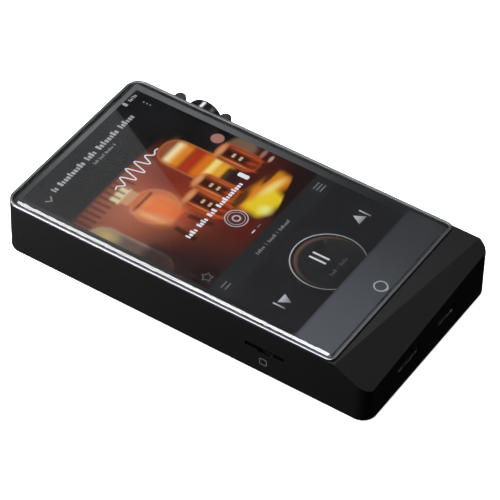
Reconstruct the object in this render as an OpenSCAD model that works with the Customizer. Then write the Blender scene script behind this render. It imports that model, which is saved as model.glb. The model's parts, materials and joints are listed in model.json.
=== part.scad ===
// Portable digital audio player lying on its back.
// Millimetres. +Z is out of the screen, +X is the knob side, +Y is the headphone end.
// The origin is the centre of the rear cover's outer face.

/* [Body] */
// width of the metal body across X, without the knob
body_w = 64; // [58:0.5:72]
// length of the metal body along Y
body_l = 121; // [112:0.5:130]
// height of the flat top of the body walls
wall_top = 17.2; // [15:0.1:20]
// plan radius of the four vertical corners
corner_r = 4.5; // [2:0.1:8]
// half width of the hollow inside the body
cavity_half_w = 28.9; // [26:0.1:30]
// inner face of the headphone end wall
cavity_top_y = 57.6; // [55:0.1:59]
// inner face of the charging end wall
cavity_end_y = -57.2; // [-59:0.1:-54]
// where the tall part of the hollow starts, just inside the chin
screen_bay_y = -45.6; // [-50:0.1:-40]
// roof height of the low hollow under the chin
chin_roof_z = 10.4; // [8:0.1:12]

/* [Chin] */
// line where the sloping chin starts, on the card side
chin_start_y = -48.2; // [-52:0.1:-44]
// height of the chin plane on that line
chin_start_z = 17.6; // [15:0.1:20]
// fall of the chin plane per millimetre towards the charging end
chin_slope = 0.53; // [0.3:0.01:0.8]
// rise of the chin plane per millimetre towards the knob side
chin_cant = 0.062; // [0:0.001:0.15]
// lean of the charging end wall, inward, per millimetre of height
end_lean = 0.045; // [0:0.005:0.12]

/* [Glass and rim] */
// lower edge of the metal rim around the glass
rim_end_y = -48.4; // [-52:0.1:-44]
// top face of the rim
rim_top = 17.9; // [17:0.05:19]
// width of the rim's top face
rim_w = 0.95; // [0.5:0.05:2]
// half width of the cover glass
glass_half_w = 30.8; // [28:0.1:31.5]
// charging end edge of the cover glass
glass_end_y = -47.15; // [-50:0.05:-44]
// headphone end edge of the cover glass
glass_top_y = 59.25; // [57:0.05:60]
// underside of the cover glass
glass_z = 16.85; // [16:0.05:17.5]
// outer face of the cover glass
glass_top_z = 18; // [17.5:0.05:19]
// corner radius of the glass at the headphone end
glass_r = 3.3; // [1:0.1:5]
// corner radius of the glass and rim at the charging end
glass_end_r = 1.2; // [0.5:0.1:3]
// width of the glued band under the glass edge
glue_w = 0.8; // [0.6:0.1:3]
// thickness of the glue
glue_t = 0.2; // [0.1:0.05:0.4]

/* [Display] */
// half width of the lit picture
picture_half_w = 27.9; // [25:0.1:29]
// charging end edge of the lit picture
picture_end_y = -34.4; // [-40:0.1:-30]
// headphone end edge of the lit picture
picture_top_y = 57; // [54:0.1:58]
// thickness of the printed border under the glass
ink_t = 0.1; // [0.05:0.01:0.2]
// thickness of the touch sensor
touch_t = 0.3; // [0.1:0.05:0.6]
// thickness of the display cell
panel_t = 1.25; // [0.8:0.05:2]
// thickness of the light guide and its tray
backlight_t = 1.4; // [0.8:0.05:2]
// centre of the home key ring
home_y = -43.8; // [-46:0.1:-40]
// outer radius of the home key ring
home_r = 2.1; // [1.5:0.1:4]
// width of the home key ring's line
home_line = 0.42; // [0.2:0.02:1]
// underside of the inner metal frame
midframe_z = 12.6; // [11:0.1:14]
// thickness of the inner metal frame
midframe_t = 0.8; // [0.5:0.1:1.5]

/* [Boards] */
// thickness of the rigid circuit boards
board_t = 1; // [0.6:0.1:1.6]
// half width of the rigid circuit boards
board_half_w = 28.4; // [26:0.1:28.8]
// underside of the main board
mainboard_z = 6.8; // [5:0.1:9]
// battery side edge of the main board
mainboard_top_y = -18.6; // [-24:0.1:-14]
// charging end edge of the main board
mainboard_end_y = -56.6; // [-57:0.1:-50]
// underside of the audio board
audio_board_z = 4.6; // [3:0.1:7]
// battery side edge of the audio board
audio_board_end_y = 28.2; // [25:0.1:32]
// headphone end edge of the audio board
audio_board_top_y = 57.2; // [50:0.1:57.4]
// wall of the pressed shield cans
shield_t = 0.2; // [0.1:0.05:0.4]
// height of the shield cans on the main board
shield_h = 2.6; // [1.5:0.1:3.5]
// height of the shield can on the audio board
audio_shield_h = 3.8; // [2:0.1:6]
// thickness of the flat chips
chip_t = 1; // [0.6:0.1:1.4]
// radius of the pillars between boards and inner frame
pillar_r = 1.7; // [1.2:0.1:2.5]
// radius of the board screws' thread
board_screw_r = 0.7; // [0.5:0.05:1]
// radius of the board screws' head
board_head_r = 1.3; // [1:0.05:2]
// height of the board screws' head
board_head_h = 0.6; // [0.4:0.05:1]

/* [Battery] */
// card side face of the battery
battery_x = -28.2; // [-28.6:0.1:-20]
// width of the battery across X
battery_w = 50; // [40:0.5:52]
// charging end face of the battery
battery_y = -12.4; // [-14:0.1:-8]
// length of the battery along Y
battery_l = 36.8; // [30:0.1:38]
// underside of the battery
battery_z = 2.4; // [1.8:0.1:4]
// edge rounding of the battery pouch
battery_r = 1.6; // [0.5:0.1:3]

/* [Ports] */
// centre of the charging socket along X
usb_x = 9; // [4:0.1:14]
// height of the charging socket's centre
usb_z = 7.7; // [6:0.1:9]
// outer width of the charging socket's shell
usb_w = 8.94; // [8.5:0.01:9.2]
// outer height of the charging socket's shell
usb_h = 3.16; // [3:0.01:3.4]
// depth of both end sockets behind their mouth
socket_depth = 7.2; // [6:0.1:9]
// mouth of both end sockets
socket_mouth_y = -59.6; // [-60:0.05:-59]
// centre of the digital link socket along X
link_x = -11; // [-16:0.1:-6]
// height of the digital link socket's centre
link_z = 7.4; // [6:0.1:9]
// outer width of the digital link socket's shell
link_w = 10.9; // [10:0.1:12]
// outer height of the digital link socket's shell
link_h = 3; // [2.5:0.1:3.5]
// wall of the socket shells
shell_t = 0.3; // [0.2:0.05:0.5]
// clearance between a socket shell and the body
socket_gap = 0.2; // [0.1:0.05:0.4]
// middle of the memory card slot along Y
card_y = -27.05; // [-32:0.05:-20]
// length of the memory card slot
card_slot_l = 12.7; // [11.5:0.1:14]
// underside of the memory card slot
card_slot_z = 8.2; // [7:0.1:10]
// height of the memory card slot
card_slot_h = 1.7; // [1.2:0.1:2.5]
// length of the fingertip notch in the card slot's lip
notch_l = 4.9; // [3:0.1:7]
// depth of the fingertip notch into the wall
notch_depth = 1.1; // [0.5:0.1:2]

/* [Headphone end] */
// height of the three sockets' centre line
jack_z = 9.5; // [8:0.1:11]
// centre of the wide balanced socket along X
balanced_x = -14; // [-18:0.1:-10]
// centre of the headphone socket along X
phones_x = 0; // [-4:0.1:4]
// centre of the line socket along X
line_x = 13; // [10:0.1:18]
// bore radius of the headphone and line sockets, for a 3.5 mm plug
small_bore_r = 1.8; // [1.76:0.01:1.9]
// bore radius of the balanced socket, for a 4.4 mm plug
wide_bore_r = 2.25; // [2.21:0.01:2.35]
// bore length of the headphone and line sockets
small_bore_l = 14.2; // [13:0.1:16]
// bore length of the balanced socket
wide_bore_l = 18.8; // [17:0.1:20]
// collar radius of the headphone and line sockets
small_collar_r = 3; // [2.5:0.1:4]
// collar radius of the balanced socket
wide_collar_r = 3.6; // [3:0.1:5]
// outer face of the socket collars
collar_face_y = 60.3; // [60:0.05:60.5]
// thickness of the end plate
end_plate_t = 1.5; // [1:0.1:2]
// half width of the end plate
end_plate_half_w = 27; // [24:0.1:28]
// lower edge of the end plate
end_plate_z = 3.2; // [2:0.1:5]
// upper edge of the end plate
end_plate_top_z = 15; // [13:0.1:16]
// distance of the end plate's screws from the middle
plate_screw_x = 24.2; // [20:0.1:25]

/* [Knob] */
// centre of the knob along Y
knob_y = 38.8; // [30:0.1:46]
// height of the knob's axis, and of the buttons' axes
side_z = 9.6; // [8:0.1:11]
// radius of the knob
knob_r = 5.95; // [4.5:0.05:7]
// wall side face of the knob
knob_base_x = 32.7; // [32.6:0.05:34]
// outer end of the knob
knob_end_x = 38.1; // [36:0.05:40]
// rounding of the knob's outer edge
knob_round = 1.6; // [0.5:0.1:2.4]
// inward travel of the knob when it is pressed
knob_travel = 0.5; // [0.3:0.05:0.6]
// radius of the inlaid disc on the knob's end
knob_cap_r = 3.1; // [2:0.1:3.6]
// thickness of the inlaid disc
knob_cap_t = 0.5; // [0.3:0.05:1]
// radius of the knob shaft
shaft_r = 1.5; // [1:0.05:2.5]
// running clearance around the shaft
shaft_gap = 0.06; // [0.02:0.01:0.1]
// half size of the square encoder case
encoder_half = 3.8; // [3:0.1:5]
// radius of the encoder's threaded neck
neck_r = 2.6; // [2:0.1:4]
// radius of the flat nut on that neck
nut_r = 3.7; // [3:0.1:5]
// thickness of the nut
nut_t = 0.5; // [0.3:0.05:1]
// distance of each guard bar from the knob's axis
guard_offset = 7.95; // [7:0.05:10]
// width of each guard bar along Y
guard_w = 3.5; // [2:0.1:5]
// outer end of the guard bars
guard_end_x = 37.3; // [34:0.1:40]
// lower end of the guard bars
guard_z = 4.4; // [2:0.1:8]
// upper end of the guard bars
guard_top_z = 14.6; // [10:0.1:17]

/* [Buttons] */
// centre of the forward button along Y
forward_y = 21; // [16:0.1:24]
// spacing of the three buttons
button_pitch = 9.5; // [7:0.1:12]
// radius of the play button
button_r = 2.5; // [1.5:0.05:3.5]
// clearance around each button
button_gap = 0.1; // [0.05:0.01:0.2]
// outer face of the buttons
button_face_x = 32.45; // [32:0.05:33.5]
// radius of the retaining flange
flange_r = 2.9; // [2.7:0.1:4]
// thickness of the retaining flange
flange_t = 0.5; // [0.3:0.05:1]

/* [Rear cover] */
// thickness of the rear cover
cover_t = 1.4; // [1:0.1:2]
// half width of the rear cover
cover_half_w = 29.7; // [28:0.1:30.5]
// charging end edge of the rear cover
cover_end_y = -58.2; // [-59:0.1:-56]
// headphone end edge of the rear cover
cover_top_y = 58.5; // [56:0.1:59]
// depth of the ledge the rear cover sits on
ledge_z = 1.5; // [1.1:0.1:2.1]
// distance of the cover screws from the middle along X
cover_screw_x = 26.4; // [24:0.1:27]
// distance of the corner cover screws from the middle along Y
cover_screw_y = 55; // [52:0.1:56]
// position of the two middle cover screws along Y
middle_screw_y = -15.4; // [-17:0.1:-14]
// radius of the cover screws' thread
cover_screw_r = 0.75; // [0.5:0.05:1]
// radius of the cover screws' head
cover_head_r = 1.5; // [1.2:0.05:2]
// depth of the cover screws' head below the face
cover_head_z = 0.2; // [0.1:0.05:0.5]
// height of the cover screws' head
cover_head_h = 0.7; // [0.4:0.05:1]
// radius of the screw bosses
boss_r = 2.2; // [1.8:0.1:3]
// top of the screw bosses
boss_top = 6; // [4:0.1:7]

/* [Hidden] */
$fn = 64;
half_w = body_w / 2;
half_l = body_l / 2;
// any length that is sure to pass right through the body
past = 200;
ink_z = glass_z - ink_t;
touch_z = ink_z - touch_t;
panel_z = touch_z - panel_t;
backlight_z = panel_z - backlight_t;
mainboard_top = mainboard_z + board_t;
audio_board_top = audio_board_z + board_t;
midframe_top = midframe_z + midframe_t;
play_y = forward_y - button_pitch;
back_y = forward_y - 2 * button_pitch;
button_ys = [forward_y, play_y, back_y];
battery_top = midframe_z - glue_t * 2;
rim_inner_half_w = half_w - rim_w;
glass_gap = rim_inner_half_w - glass_half_w;
encoder_x = 21.6;
encoder_face_x = 28.2;
plunger_x = 23;
plunger_t = 1.6;
plunger_half = 2.3;
tail_r = 0.8;
// depth of the knob's end wall, between the shaft and the outer face
knob_web_t = 1.4;
knob_recess = 1.3;
// pins that hold the guard bars to the wall
guard_pin_l = 1.5;
guard_pin_r = 1.2;
// roundness and height of the notch's curve, as shares of its length
notch_round = 0.81;
notch_rise = 0.34;
plate_head_depth = 0.8;
small_jack_half = 3.3;
small_jack_y = 45.2;
small_jack_top = 12.5;
wide_jack_half = 4.3;
wide_jack_y = 40.6;
wide_jack_top = 13.6;
jack_room = 0.3;
ring_inset = 0.15;
ring_lip = 0.2;
card_half_l = 7.2;
card_lid_h = 1.3;
ribbon_z = 6;
ribbon_t = 0.15;
tact_x = 26.8;
tact_body_t = 0.9;
tact_dome_t = 0.3;
cover_screw_spots = [
    [cover_screw_x, cover_screw_y], [-cover_screw_x, cover_screw_y],
    [cover_screw_x, -cover_screw_y], [-cover_screw_x, -cover_screw_y],
    [cover_screw_x, middle_screw_y], [-cover_screw_x, middle_screw_y]
];
mainboard_screw_spots = [[-25.5, -41.5], [25.5, -41.5], [25.2, -25], [-12.8, -22]];
audio_screw_spots = [[-25.5, 31.4], [19, 46], [-22, 46]];

// box between two opposite corners
module block(x0, x1, y0, y1, z0, z1) {
    translate([x0, y0, z0])
        cube([x1 - x0, y1 - y0, z1 - z0]);
}

// box whose vertical corners are rounded
module round_block(x0, x1, y0, y1, z0, z1, r) {
    block(x0 + r, x1 - r, y0, y1, z0, z1);
    block(x0, x1, y0 + r, y1 - r, z0, z1);
    for (x = [x0 + r, x1 - r])
        for (y = [y0 + r, y1 - r])
            translate([x, y, z0])
                cylinder(h = z1 - z0, r = r);
}

// box with one corner radius at the charging end and another at the headphone end
module glass_block(half, y0, y1, z0, z1, end_r, top_r) {
    middle = (y0 + y1) / 2;
    intersection() {
        round_block(-half, half, y0, y1 + past, z0, z1, end_r);
        round_block(-half, half, middle - past, y1, z0, z1, top_r);
    }
}

module rod_x(x0, x1, y, z, r) {
    translate([x0, y, z])
        rotate([0, 90, 0])
            cylinder(h = x1 - x0, r = r);
}

module rod_y(y0, y1, x, z, r) {
    translate([x, y0, z])
        rotate([-90, 0, 0])
            cylinder(h = y1 - y0, r = r);
}

module rod_z(z0, z1, x, y, r) {
    translate([x, y, z0])
        cylinder(h = z1 - z0, r = r);
}

// bar along Y with a slot-shaped section, as on a charging socket
module slot_bar(x, z, w, h, y0, y1) {
    r = h / 2;
    block(x - w / 2 + r, x + w / 2 - r, y0, y1, z - r, z + r);
    rod_y(y0, y1, x - w / 2 + r, z, r);
    rod_y(y0, y1, x + w / 2 - r, z, r);
}

// bar along Y with the two lower corners cut off, as on a digital link socket
module link_bar(x, z, w, h, y0, y1) {
    cut = h * 0.4;
    translate([x, y1, z])
        rotate([90, 0, 0])
            linear_extrude(y1 - y0)
                polygon([
                    [-w / 2, h / 2], [w / 2, h / 2], [w / 2, -h / 2 + cut],
                    [w / 2 - cut, -h / 2], [-w / 2 + cut, -h / 2], [-w / 2, -h / 2 + cut]
                ]);
}

// everything above the sloping chin plane
module above_chin() {
    slope_angle = atan(chin_slope);
    cant_angle = atan(chin_cant * cos(slope_angle));
    translate([-half_w, chin_start_y, chin_start_z])
        rotate([slope_angle, 0, 0])
            rotate([0, -cant_angle, 0])
                translate([-past / 2, -past / 2, 0])
                    cube([past, past, past]);
}

// everything outside the leaning charging end wall
module beyond_end() {
    translate([0, -half_l, 0])
        rotate([-atan(end_lean), 0, 0])
            translate([-past / 2, -past, -past / 2])
                cube([past, past, past]);
}

module housing_outer() {
    difference() {
        round_block(-half_w, half_w, -half_l, half_l, 0, wall_top, corner_r);
        above_chin();
        beyond_end();
    }
}

module housing_hollow() {
    block(-cavity_half_w, cavity_half_w, screen_bay_y, cavity_top_y, -1, past);
    block(-cavity_half_w, cavity_half_w, cavity_end_y, screen_bay_y + 1, -1, chin_roof_z);
    round_block(-cover_half_w - 0.1, cover_half_w + 0.1, cover_end_y - 0.1, cover_top_y + 0.1,
        -1, ledge_z, 2.1);
    glass_block(rim_inner_half_w, glass_end_y - glass_gap, glass_top_y + glass_gap,
        glass_z - glue_t, past, glass_end_r, glass_r + glass_gap);
}

// screw boss joined to the wall beside it
module boss(x, y) {
    toward = x > 0 ? 1 : -1;
    rod_z(ledge_z, boss_top, x, y, boss_r);
    block(min(x, toward * (cavity_half_w + 0.5)), max(x, toward * (cavity_half_w + 0.5)),
        y - boss_r, y + boss_r, ledge_z, boss_top);
}

module socket_openings() {
    slot_bar(usb_x, usb_z, usb_w + 2 * socket_gap, usb_h + 2 * socket_gap, -past, cavity_end_y + 1);
    link_bar(link_x, link_z, link_w + 2 * socket_gap, link_h + 2 * socket_gap, -past,
        cavity_end_y + 1);
    block(-past, -cavity_half_w + 1, card_y - card_slot_l / 2, card_y + card_slot_l / 2,
        card_slot_z, card_slot_z + card_slot_h);
    intersection() {
        block(-past, -half_w + notch_depth, card_y - notch_l / 2, card_y + notch_l / 2,
            0, card_slot_z + card_slot_h);
        rod_x(-past, 0, card_y, card_slot_z + card_slot_h + notch_l * notch_rise,
            notch_l * notch_round);
    }
}

module end_plate_openings() {
    translate([0, half_l + past, 0])
        rotate([90, 0, 0])
            round_block(-end_plate_half_w, end_plate_half_w, end_plate_z, end_plate_top_z,
                0, past + end_plate_t, 2);
    rod_y(0, past, balanced_x, jack_z, wide_collar_r);
    rod_y(0, past, phones_x, jack_z, small_collar_r);
    rod_y(0, past, line_x, jack_z, small_collar_r);
    for (side = [-1, 1])
        rod_y(0, past, side * plate_screw_x, jack_z, board_screw_r);
}

module side_openings() {
    rod_x(0, past, knob_y, side_z, neck_r);
    for (y = button_ys)
        rod_x(0, past, y, side_z, button_r + button_gap);
    for (side = [-1, 1])
        rod_x(half_w - guard_pin_l, past, knob_y + side * guard_offset, side_z, guard_pin_r);
}

module housing() {
    color("#1b1b1c")
        difference() {
            union() {
                difference() {
                    housing_outer();
                    housing_hollow();
                }
                for (spot = cover_screw_spots)
                    boss(spot[0], spot[1]);
            }
            for (spot = cover_screw_spots)
                rod_z(0, boss_top - 0.6, spot[0], spot[1], cover_screw_r);
            socket_openings();
            end_plate_openings();
            side_openings();
        }
}

module rim() {
    color("#8a8b8e")
        difference() {
            glass_block(half_w, rim_end_y, half_l, wall_top, rim_top, glass_end_r + rim_w,
                corner_r);
            glass_block(rim_inner_half_w, glass_end_y - glass_gap, glass_top_y + glass_gap,
                0, past, glass_end_r, glass_r + glass_gap);
        }
}

module cover_glass() {
    color("#2a2d33", 0.5)
        glass_block(glass_half_w, glass_end_y, glass_top_y, glass_z, glass_top_z, glass_end_r,
            glass_r);
}

module glass_glue() {
    color("#101010")
        difference() {
            glass_block(glass_half_w, glass_end_y, glass_top_y, glass_z - glue_t, glass_z,
                glass_end_r, glass_r);
            block(-glass_half_w + glue_w, glass_half_w - glue_w, glass_end_y + glue_w,
                glass_top_y - glue_w, 0, past);
        }
}

module home_disc(r, z0, z1) {
    rod_z(z0, z1, 0, home_y, r);
}

module ink_border() {
    color("#3a3d45")
        difference() {
            block(-glass_half_w + glue_w, glass_half_w - glue_w, glass_end_y + glue_w,
                glass_top_y - glue_w, ink_z, glass_z);
            block(-picture_half_w, picture_half_w, picture_end_y, picture_top_y, 0, past);
            difference() {
                home_disc(home_r, 0, past);
                home_disc(home_r - home_line, -1, past + 1);
            }
        }
}

module home_ring() {
    color("#b9bdc4")
        difference() {
            home_disc(home_r, ink_z, glass_z);
            home_disc(home_r - home_line, 0, past);
        }
}

module touch_layer() {
    color("#5b6670")
        block(-cavity_half_w + 0.3, cavity_half_w - 0.3, screen_bay_y + 0.3, cavity_top_y - 0.3,
            touch_z, ink_z);
}

module display_panel() {
    color("#20242c")
        block(-cavity_half_w + 0.5, cavity_half_w - 0.5, picture_end_y - 4.1, cavity_top_y - 0.3,
            panel_z, touch_z);
}

module backlight() {
    color("#d8dce0")
        difference() {
            block(-cavity_half_w + 0.6, cavity_half_w - 0.6, picture_end_y - 3.6,
                cavity_top_y - 0.4, backlight_z, panel_z);
            block(encoder_x - 0.8, past, knob_y - encoder_half - 0.6, knob_y + encoder_half + 0.6,
                0, midframe_top);
        }
}

// thin tail that folds from the display cell down to the main board
module display_flex() {
    flex_t = 0.2;
    fold_y = picture_end_y - 9;
    panel_end_y = picture_end_y - 4.1;
    flex_z = panel_z + 0.4;
    color("#a8692a")
        translate([-6, 0, 0])
            rotate([90, 0, -90])
                linear_extrude(14)
                    polygon([
                        [-panel_end_y, flex_z], [-fold_y, flex_z],
                        [-fold_y, mainboard_top], [-fold_y - 3, mainboard_top],
                        [-fold_y - 3, mainboard_top + 0.9], [-fold_y - flex_t, mainboard_top + 0.9],
                        [-fold_y - flex_t, flex_z - flex_t], [-panel_end_y, flex_z - flex_t]
                    ]);
}

module midframe() {
    color("#9aa0a4")
        difference() {
            block(-cavity_half_w, cavity_half_w, screen_bay_y, cavity_top_y, midframe_z,
                midframe_top);
            block(-21, -5, picture_end_y - 10, picture_end_y - 8, 0, past);
            block(encoder_x - 0.6, past, knob_y - encoder_half - 0.4, knob_y + encoder_half + 0.4,
                0, past);
            block(balanced_x - wide_jack_half - jack_room, balanced_x + wide_jack_half + jack_room,
                wide_jack_y - ring_lip, past, 0, past);
            for (spot = concat(mainboard_screw_spots, audio_screw_spots))
                rod_z(0, past, spot[0], spot[1], board_screw_r);
        }
}

module antenna() {
    color("#c9a24a")
        block(8, 26, screen_bay_y + 0.4, picture_end_y - 4.6, backlight_z + 0.4, touch_z - 0.1);
}

module corner_notches() {
    for (x = [-cover_screw_x, cover_screw_x])
        for (y = [-cover_screw_y, cover_screw_y])
            block(min(x, 2 * x) - boss_r - 0.4, max(x, 2 * x) + boss_r + 0.4,
                y < 0 ? -past : y - boss_r - 0.4, y < 0 ? y + boss_r + 0.4 : past, 0, past);
}

module mainboard() {
    back_y_edge = socket_mouth_y + socket_depth + 0.1;
    color("#14532d")
        difference() {
            block(-board_half_w, board_half_w, mainboard_end_y, mainboard_top_y, mainboard_z,
                mainboard_top);
            corner_notches();
            block(usb_x - usb_w / 2 - 0.2, usb_x + usb_w / 2 + 0.2, -past, back_y_edge, 0, past);
            block(link_x - link_w / 2 - 0.2, link_x + link_w / 2 + 0.2, -past, back_y_edge, 0,
                past);
            for (spot = mainboard_screw_spots)
                rod_z(0, past, spot[0], spot[1], board_screw_r);
        }
}

module processor() {
    color("#26282b")
        block(-8.4, 2.6, -38.5, -27.5, mainboard_top, mainboard_top + chip_t);
}

module memory_chip() {
    color("#26282b")
        block(3.6, 9.2, -38, -28, mainboard_top, mainboard_top + chip_t * 0.9);
}

module flash_chip() {
    color("#26282b")
        block(-10, 1.5, -40, -27, mainboard_z - chip_t, mainboard_z);
}

module power_chip() {
    color("#26282b")
        block(9, 15, -36, -30, mainboard_z - chip_t * 0.9, mainboard_z);
}

// pressed metal lid, open underneath
module shield_can(x0, x1, y0, y1, z0, h) {
    difference() {
        block(x0, x1, y0, y1, z0, z0 + h);
        block(x0 + shield_t, x1 - shield_t, y0 + shield_t, y1 - shield_t, z0 - 1,
            z0 + h - shield_t);
    }
}

module processor_shield() {
    color("#c4c7ca")
        shield_can(-9.4, 10.2, -40, -26, mainboard_top, shield_h);
}

module thermal_pad() {
    color("#6f8fb0")
        block(-7, 7, -38, -28, mainboard_top + shield_h, midframe_z);
}

module radio_shield() {
    color("#c4c7ca")
        shield_can(12, 22.6, -38, -26.5, mainboard_top, shield_h * 0.7);
}

module usb_socket() {
    back_y_face = socket_mouth_y + socket_depth;
    color("#c9ccce")
        difference() {
            slot_bar(usb_x, usb_z, usb_w, usb_h, socket_mouth_y, back_y_face);
            slot_bar(usb_x, usb_z, usb_w - 2 * shell_t, usb_h - 2 * shell_t, -past,
                back_y_face - 1);
        }
    color("#1c1c1e")
        block(usb_x - 3.35, usb_x + 3.35, socket_mouth_y + 0.6, back_y_face - 1, usb_z - 0.35,
            usb_z + 0.35);
}

module link_socket() {
    back_y_face = socket_mouth_y + socket_depth;
    color("#b4b7ba")
        difference() {
            link_bar(link_x, link_z, link_w, link_h, socket_mouth_y, back_y_face);
            link_bar(link_x, link_z, link_w - 2 * shell_t, link_h - 2 * shell_t, -past,
                back_y_face - 1);
        }
    color("#1c1c1e")
        block(link_x - 4, link_x + 4, socket_mouth_y + 0.9, back_y_face - 1, link_z + 0.1,
            link_z + 0.8);
}

module card_base() {
    color("#1c1c1e")
        difference() {
            block(-28.6, -16, card_y - card_half_l, card_y + card_half_l, mainboard_top,
                card_slot_z + card_lid_h);
            block(-past, -17.2, card_y - 5.6, card_y + 5.6, card_slot_z + 0.2, past);
        }
}

module card_cage() {
    color("#c4c7ca")
        difference() {
            block(-28.6, -16, card_y - card_half_l, card_y + card_half_l, card_slot_z + card_lid_h,
                card_slot_z + card_lid_h + shield_t);
            block(-22, -19, card_y - 2, card_y + 2, 0, past);
        }
}

module battery() {
    x1 = battery_x + battery_w;
    y1 = battery_y + battery_l;
    color("#3f4448")
        round_block(battery_x, x1, battery_y, y1, battery_z, battery_top, battery_r);
}

module battery_leads() {
    color("#b3261e")
        for (x = [-4.5, -3, -1.5])
            rod_y(mainboard_top_y - 0.6, battery_y, x, mainboard_top + 1, 0.45);
}

module battery_plug() {
    color("#e8e4d8")
        block(-5.6, -0.4, mainboard_top_y - 3.8, mainboard_top_y - 0.6, mainboard_top,
            mainboard_top + 2);
}

module battery_pad() {
    color("#4a4a4a")
        block(battery_x + 3, battery_x + battery_w - 3, battery_y + 3, battery_y + battery_l - 3,
            cover_t, battery_z);
}

module ribbon() {
    color("#a8692a") {
        block(22.6, 25.4, mainboard_top_y - 2.4, audio_board_end_y + 2.4, ribbon_z,
            ribbon_z + ribbon_t);
        block(22.4, 25.6, mainboard_top_y - 2.6, mainboard_top_y - 0.4, ribbon_z + ribbon_t,
            mainboard_z);
        block(22.4, 25.6, audio_board_end_y + 0.4, audio_board_end_y + 2.6, audio_board_top,
            ribbon_z);
    }
}

module audio_board() {
    color("#12355b")
        difference() {
            block(-board_half_w, board_half_w, audio_board_end_y, audio_board_top_y,
                audio_board_z, audio_board_top);
            corner_notches();
            for (spot = audio_screw_spots)
                rod_z(0, past, spot[0], spot[1], board_screw_r);
        }
}

module converter_chips() {
    color("#26282b")
        for (x = [-18, -8])
            block(x, x + 7, 31.4, 38.4, audio_board_top, audio_board_top + chip_t);
}

module clock_cans() {
    color("#d9dadb")
        for (x = [0.6, 4.6])
            block(x, x + 3.2, 32.4, 37.4, audio_board_top, audio_board_top + 1.3);
}

module audio_shield() {
    color("#c4c7ca")
        shield_can(-19.4, 9, 30, 39.6, audio_board_top, audio_shield_h);
}

module amplifier_chips() {
    color("#26282b")
        for (x = [11, 16.2])
            for (y = [31, 36])
                block(x, x + 4, y, y + 3, audio_board_top, audio_board_top + chip_t * 1.2);
}

module audio_capacitors() {
    color("#b08d3c")
        for (spot = [[-27.6, 36], [-23.4, 36], [6, 41.2], [12, 41.2]])
            block(spot[0], spot[0] + 3.4, spot[1], spot[1] + 2.8, audio_board_top,
                audio_board_top + 2.6);
    color("#2b2f36")
        for (y = [44, 49.4])
            rod_z(audio_board_top, audio_board_top + 5.4, 6.6 - 0.05, y, 2.1);
}

// socket body with a blind bore that opens at the collar's face
module jack(x, body_half, body_y, body_top, collar_r, bore_r, bore_l) {
    difference() {
        union() {
            block(x - body_half, x + body_half, body_y, cavity_top_y, audio_board_top, body_top);
            rod_y(cavity_top_y - 1, collar_face_y, x, jack_z, collar_r);
        }
        rod_y(collar_face_y - bore_l, past, x, jack_z, bore_r);
    }
}

module phones_jack() {
    color("#1c1c1e")
        jack(phones_x, small_jack_half, small_jack_y, small_jack_top, small_collar_r, small_bore_r,
            small_bore_l);
}

module line_jack() {
    color("#1c1c1e")
        jack(line_x, small_jack_half, small_jack_y, small_jack_top, small_collar_r, small_bore_r,
            small_bore_l);
}

module balanced_jack() {
    color("#1c1c1e")
        jack(balanced_x, wide_jack_half, wide_jack_y, wide_jack_top, wide_collar_r, wide_bore_r, wide_bore_l);
}

// thin bright ring let into each collar's face
module socket_ring(x, outer_r, inner_r) {
    difference() {
        rod_y(collar_face_y, half_l - 0.05, x, jack_z, outer_r);
        rod_y(0, past, x, jack_z, inner_r);
    }
}

module socket_rings() {
    color("#c7a24a") {
        socket_ring(balanced_x, wide_collar_r - ring_inset, wide_bore_r + ring_lip);
        socket_ring(phones_x, small_collar_r - ring_inset, small_bore_r + ring_lip);
        socket_ring(line_x, small_collar_r - ring_inset, small_bore_r + ring_lip);
    }
}

module end_plate() {
    color("#202022")
        difference() {
            translate([0, half_l, 0])
                rotate([90, 0, 0])
                    round_block(-end_plate_half_w, end_plate_half_w, end_plate_z, end_plate_top_z,
                        0, end_plate_t, 2);
            rod_y(0, past, balanced_x, jack_z, wide_collar_r);
            rod_y(0, past, phones_x, jack_z, small_collar_r);
            rod_y(0, past, line_x, jack_z, small_collar_r);
            for (side = [-1, 1]) {
                rod_y(0, past, side * plate_screw_x, jack_z, board_screw_r);
                rod_y(half_l - plate_head_depth, past, side * plate_screw_x, jack_z, board_head_r);
            }
        }
}

module plate_screws() {
    color("#2f3033")
        for (side = [-1, 1])
            difference() {
                union() {
                    rod_y(half_l - plate_head_depth, half_l - 0.2, side * plate_screw_x, jack_z,
                        board_head_r);
                    rod_y(cavity_top_y + 0.1, half_l - plate_head_depth, side * plate_screw_x, jack_z,
                        board_screw_r);
                }
                translate([side * plate_screw_x, half_l - 0.5, jack_z])
                    rotate([-90, 0, 0])
                        cylinder(h = 1, r = 0.75, $fn = 6);
            }
}

module encoder_case() {
    color("#5f6468")
        difference() {
            block(encoder_x, encoder_face_x, knob_y - encoder_half, knob_y + encoder_half,
                side_z - encoder_half, side_z + encoder_half);
            block(plunger_x - knob_travel - 0.3, encoder_face_x - 1,
                knob_y - plunger_half - 0.1, knob_y + plunger_half + 0.1,
                side_z - plunger_half - 0.1, side_z + plunger_half + 0.1);
            rod_x(plunger_x, past, knob_y, side_z, shaft_r + shaft_gap);
        }
}

module encoder_neck() {
    color("#b79b4b")
        difference() {
            rod_x(encoder_face_x, half_w + nut_t, knob_y, side_z, neck_r);
            rod_x(0, past, knob_y, side_z, shaft_r + shaft_gap);
        }
}

module encoder_nut() {
    color("#b9bbbd")
        difference() {
            translate([half_w, knob_y, side_z])
                rotate([0, 90, 0])
                    cylinder(h = nut_t, r = nut_r, $fn = 6);
            rod_x(0, past, knob_y, side_z, neck_r);
        }
}

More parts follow.
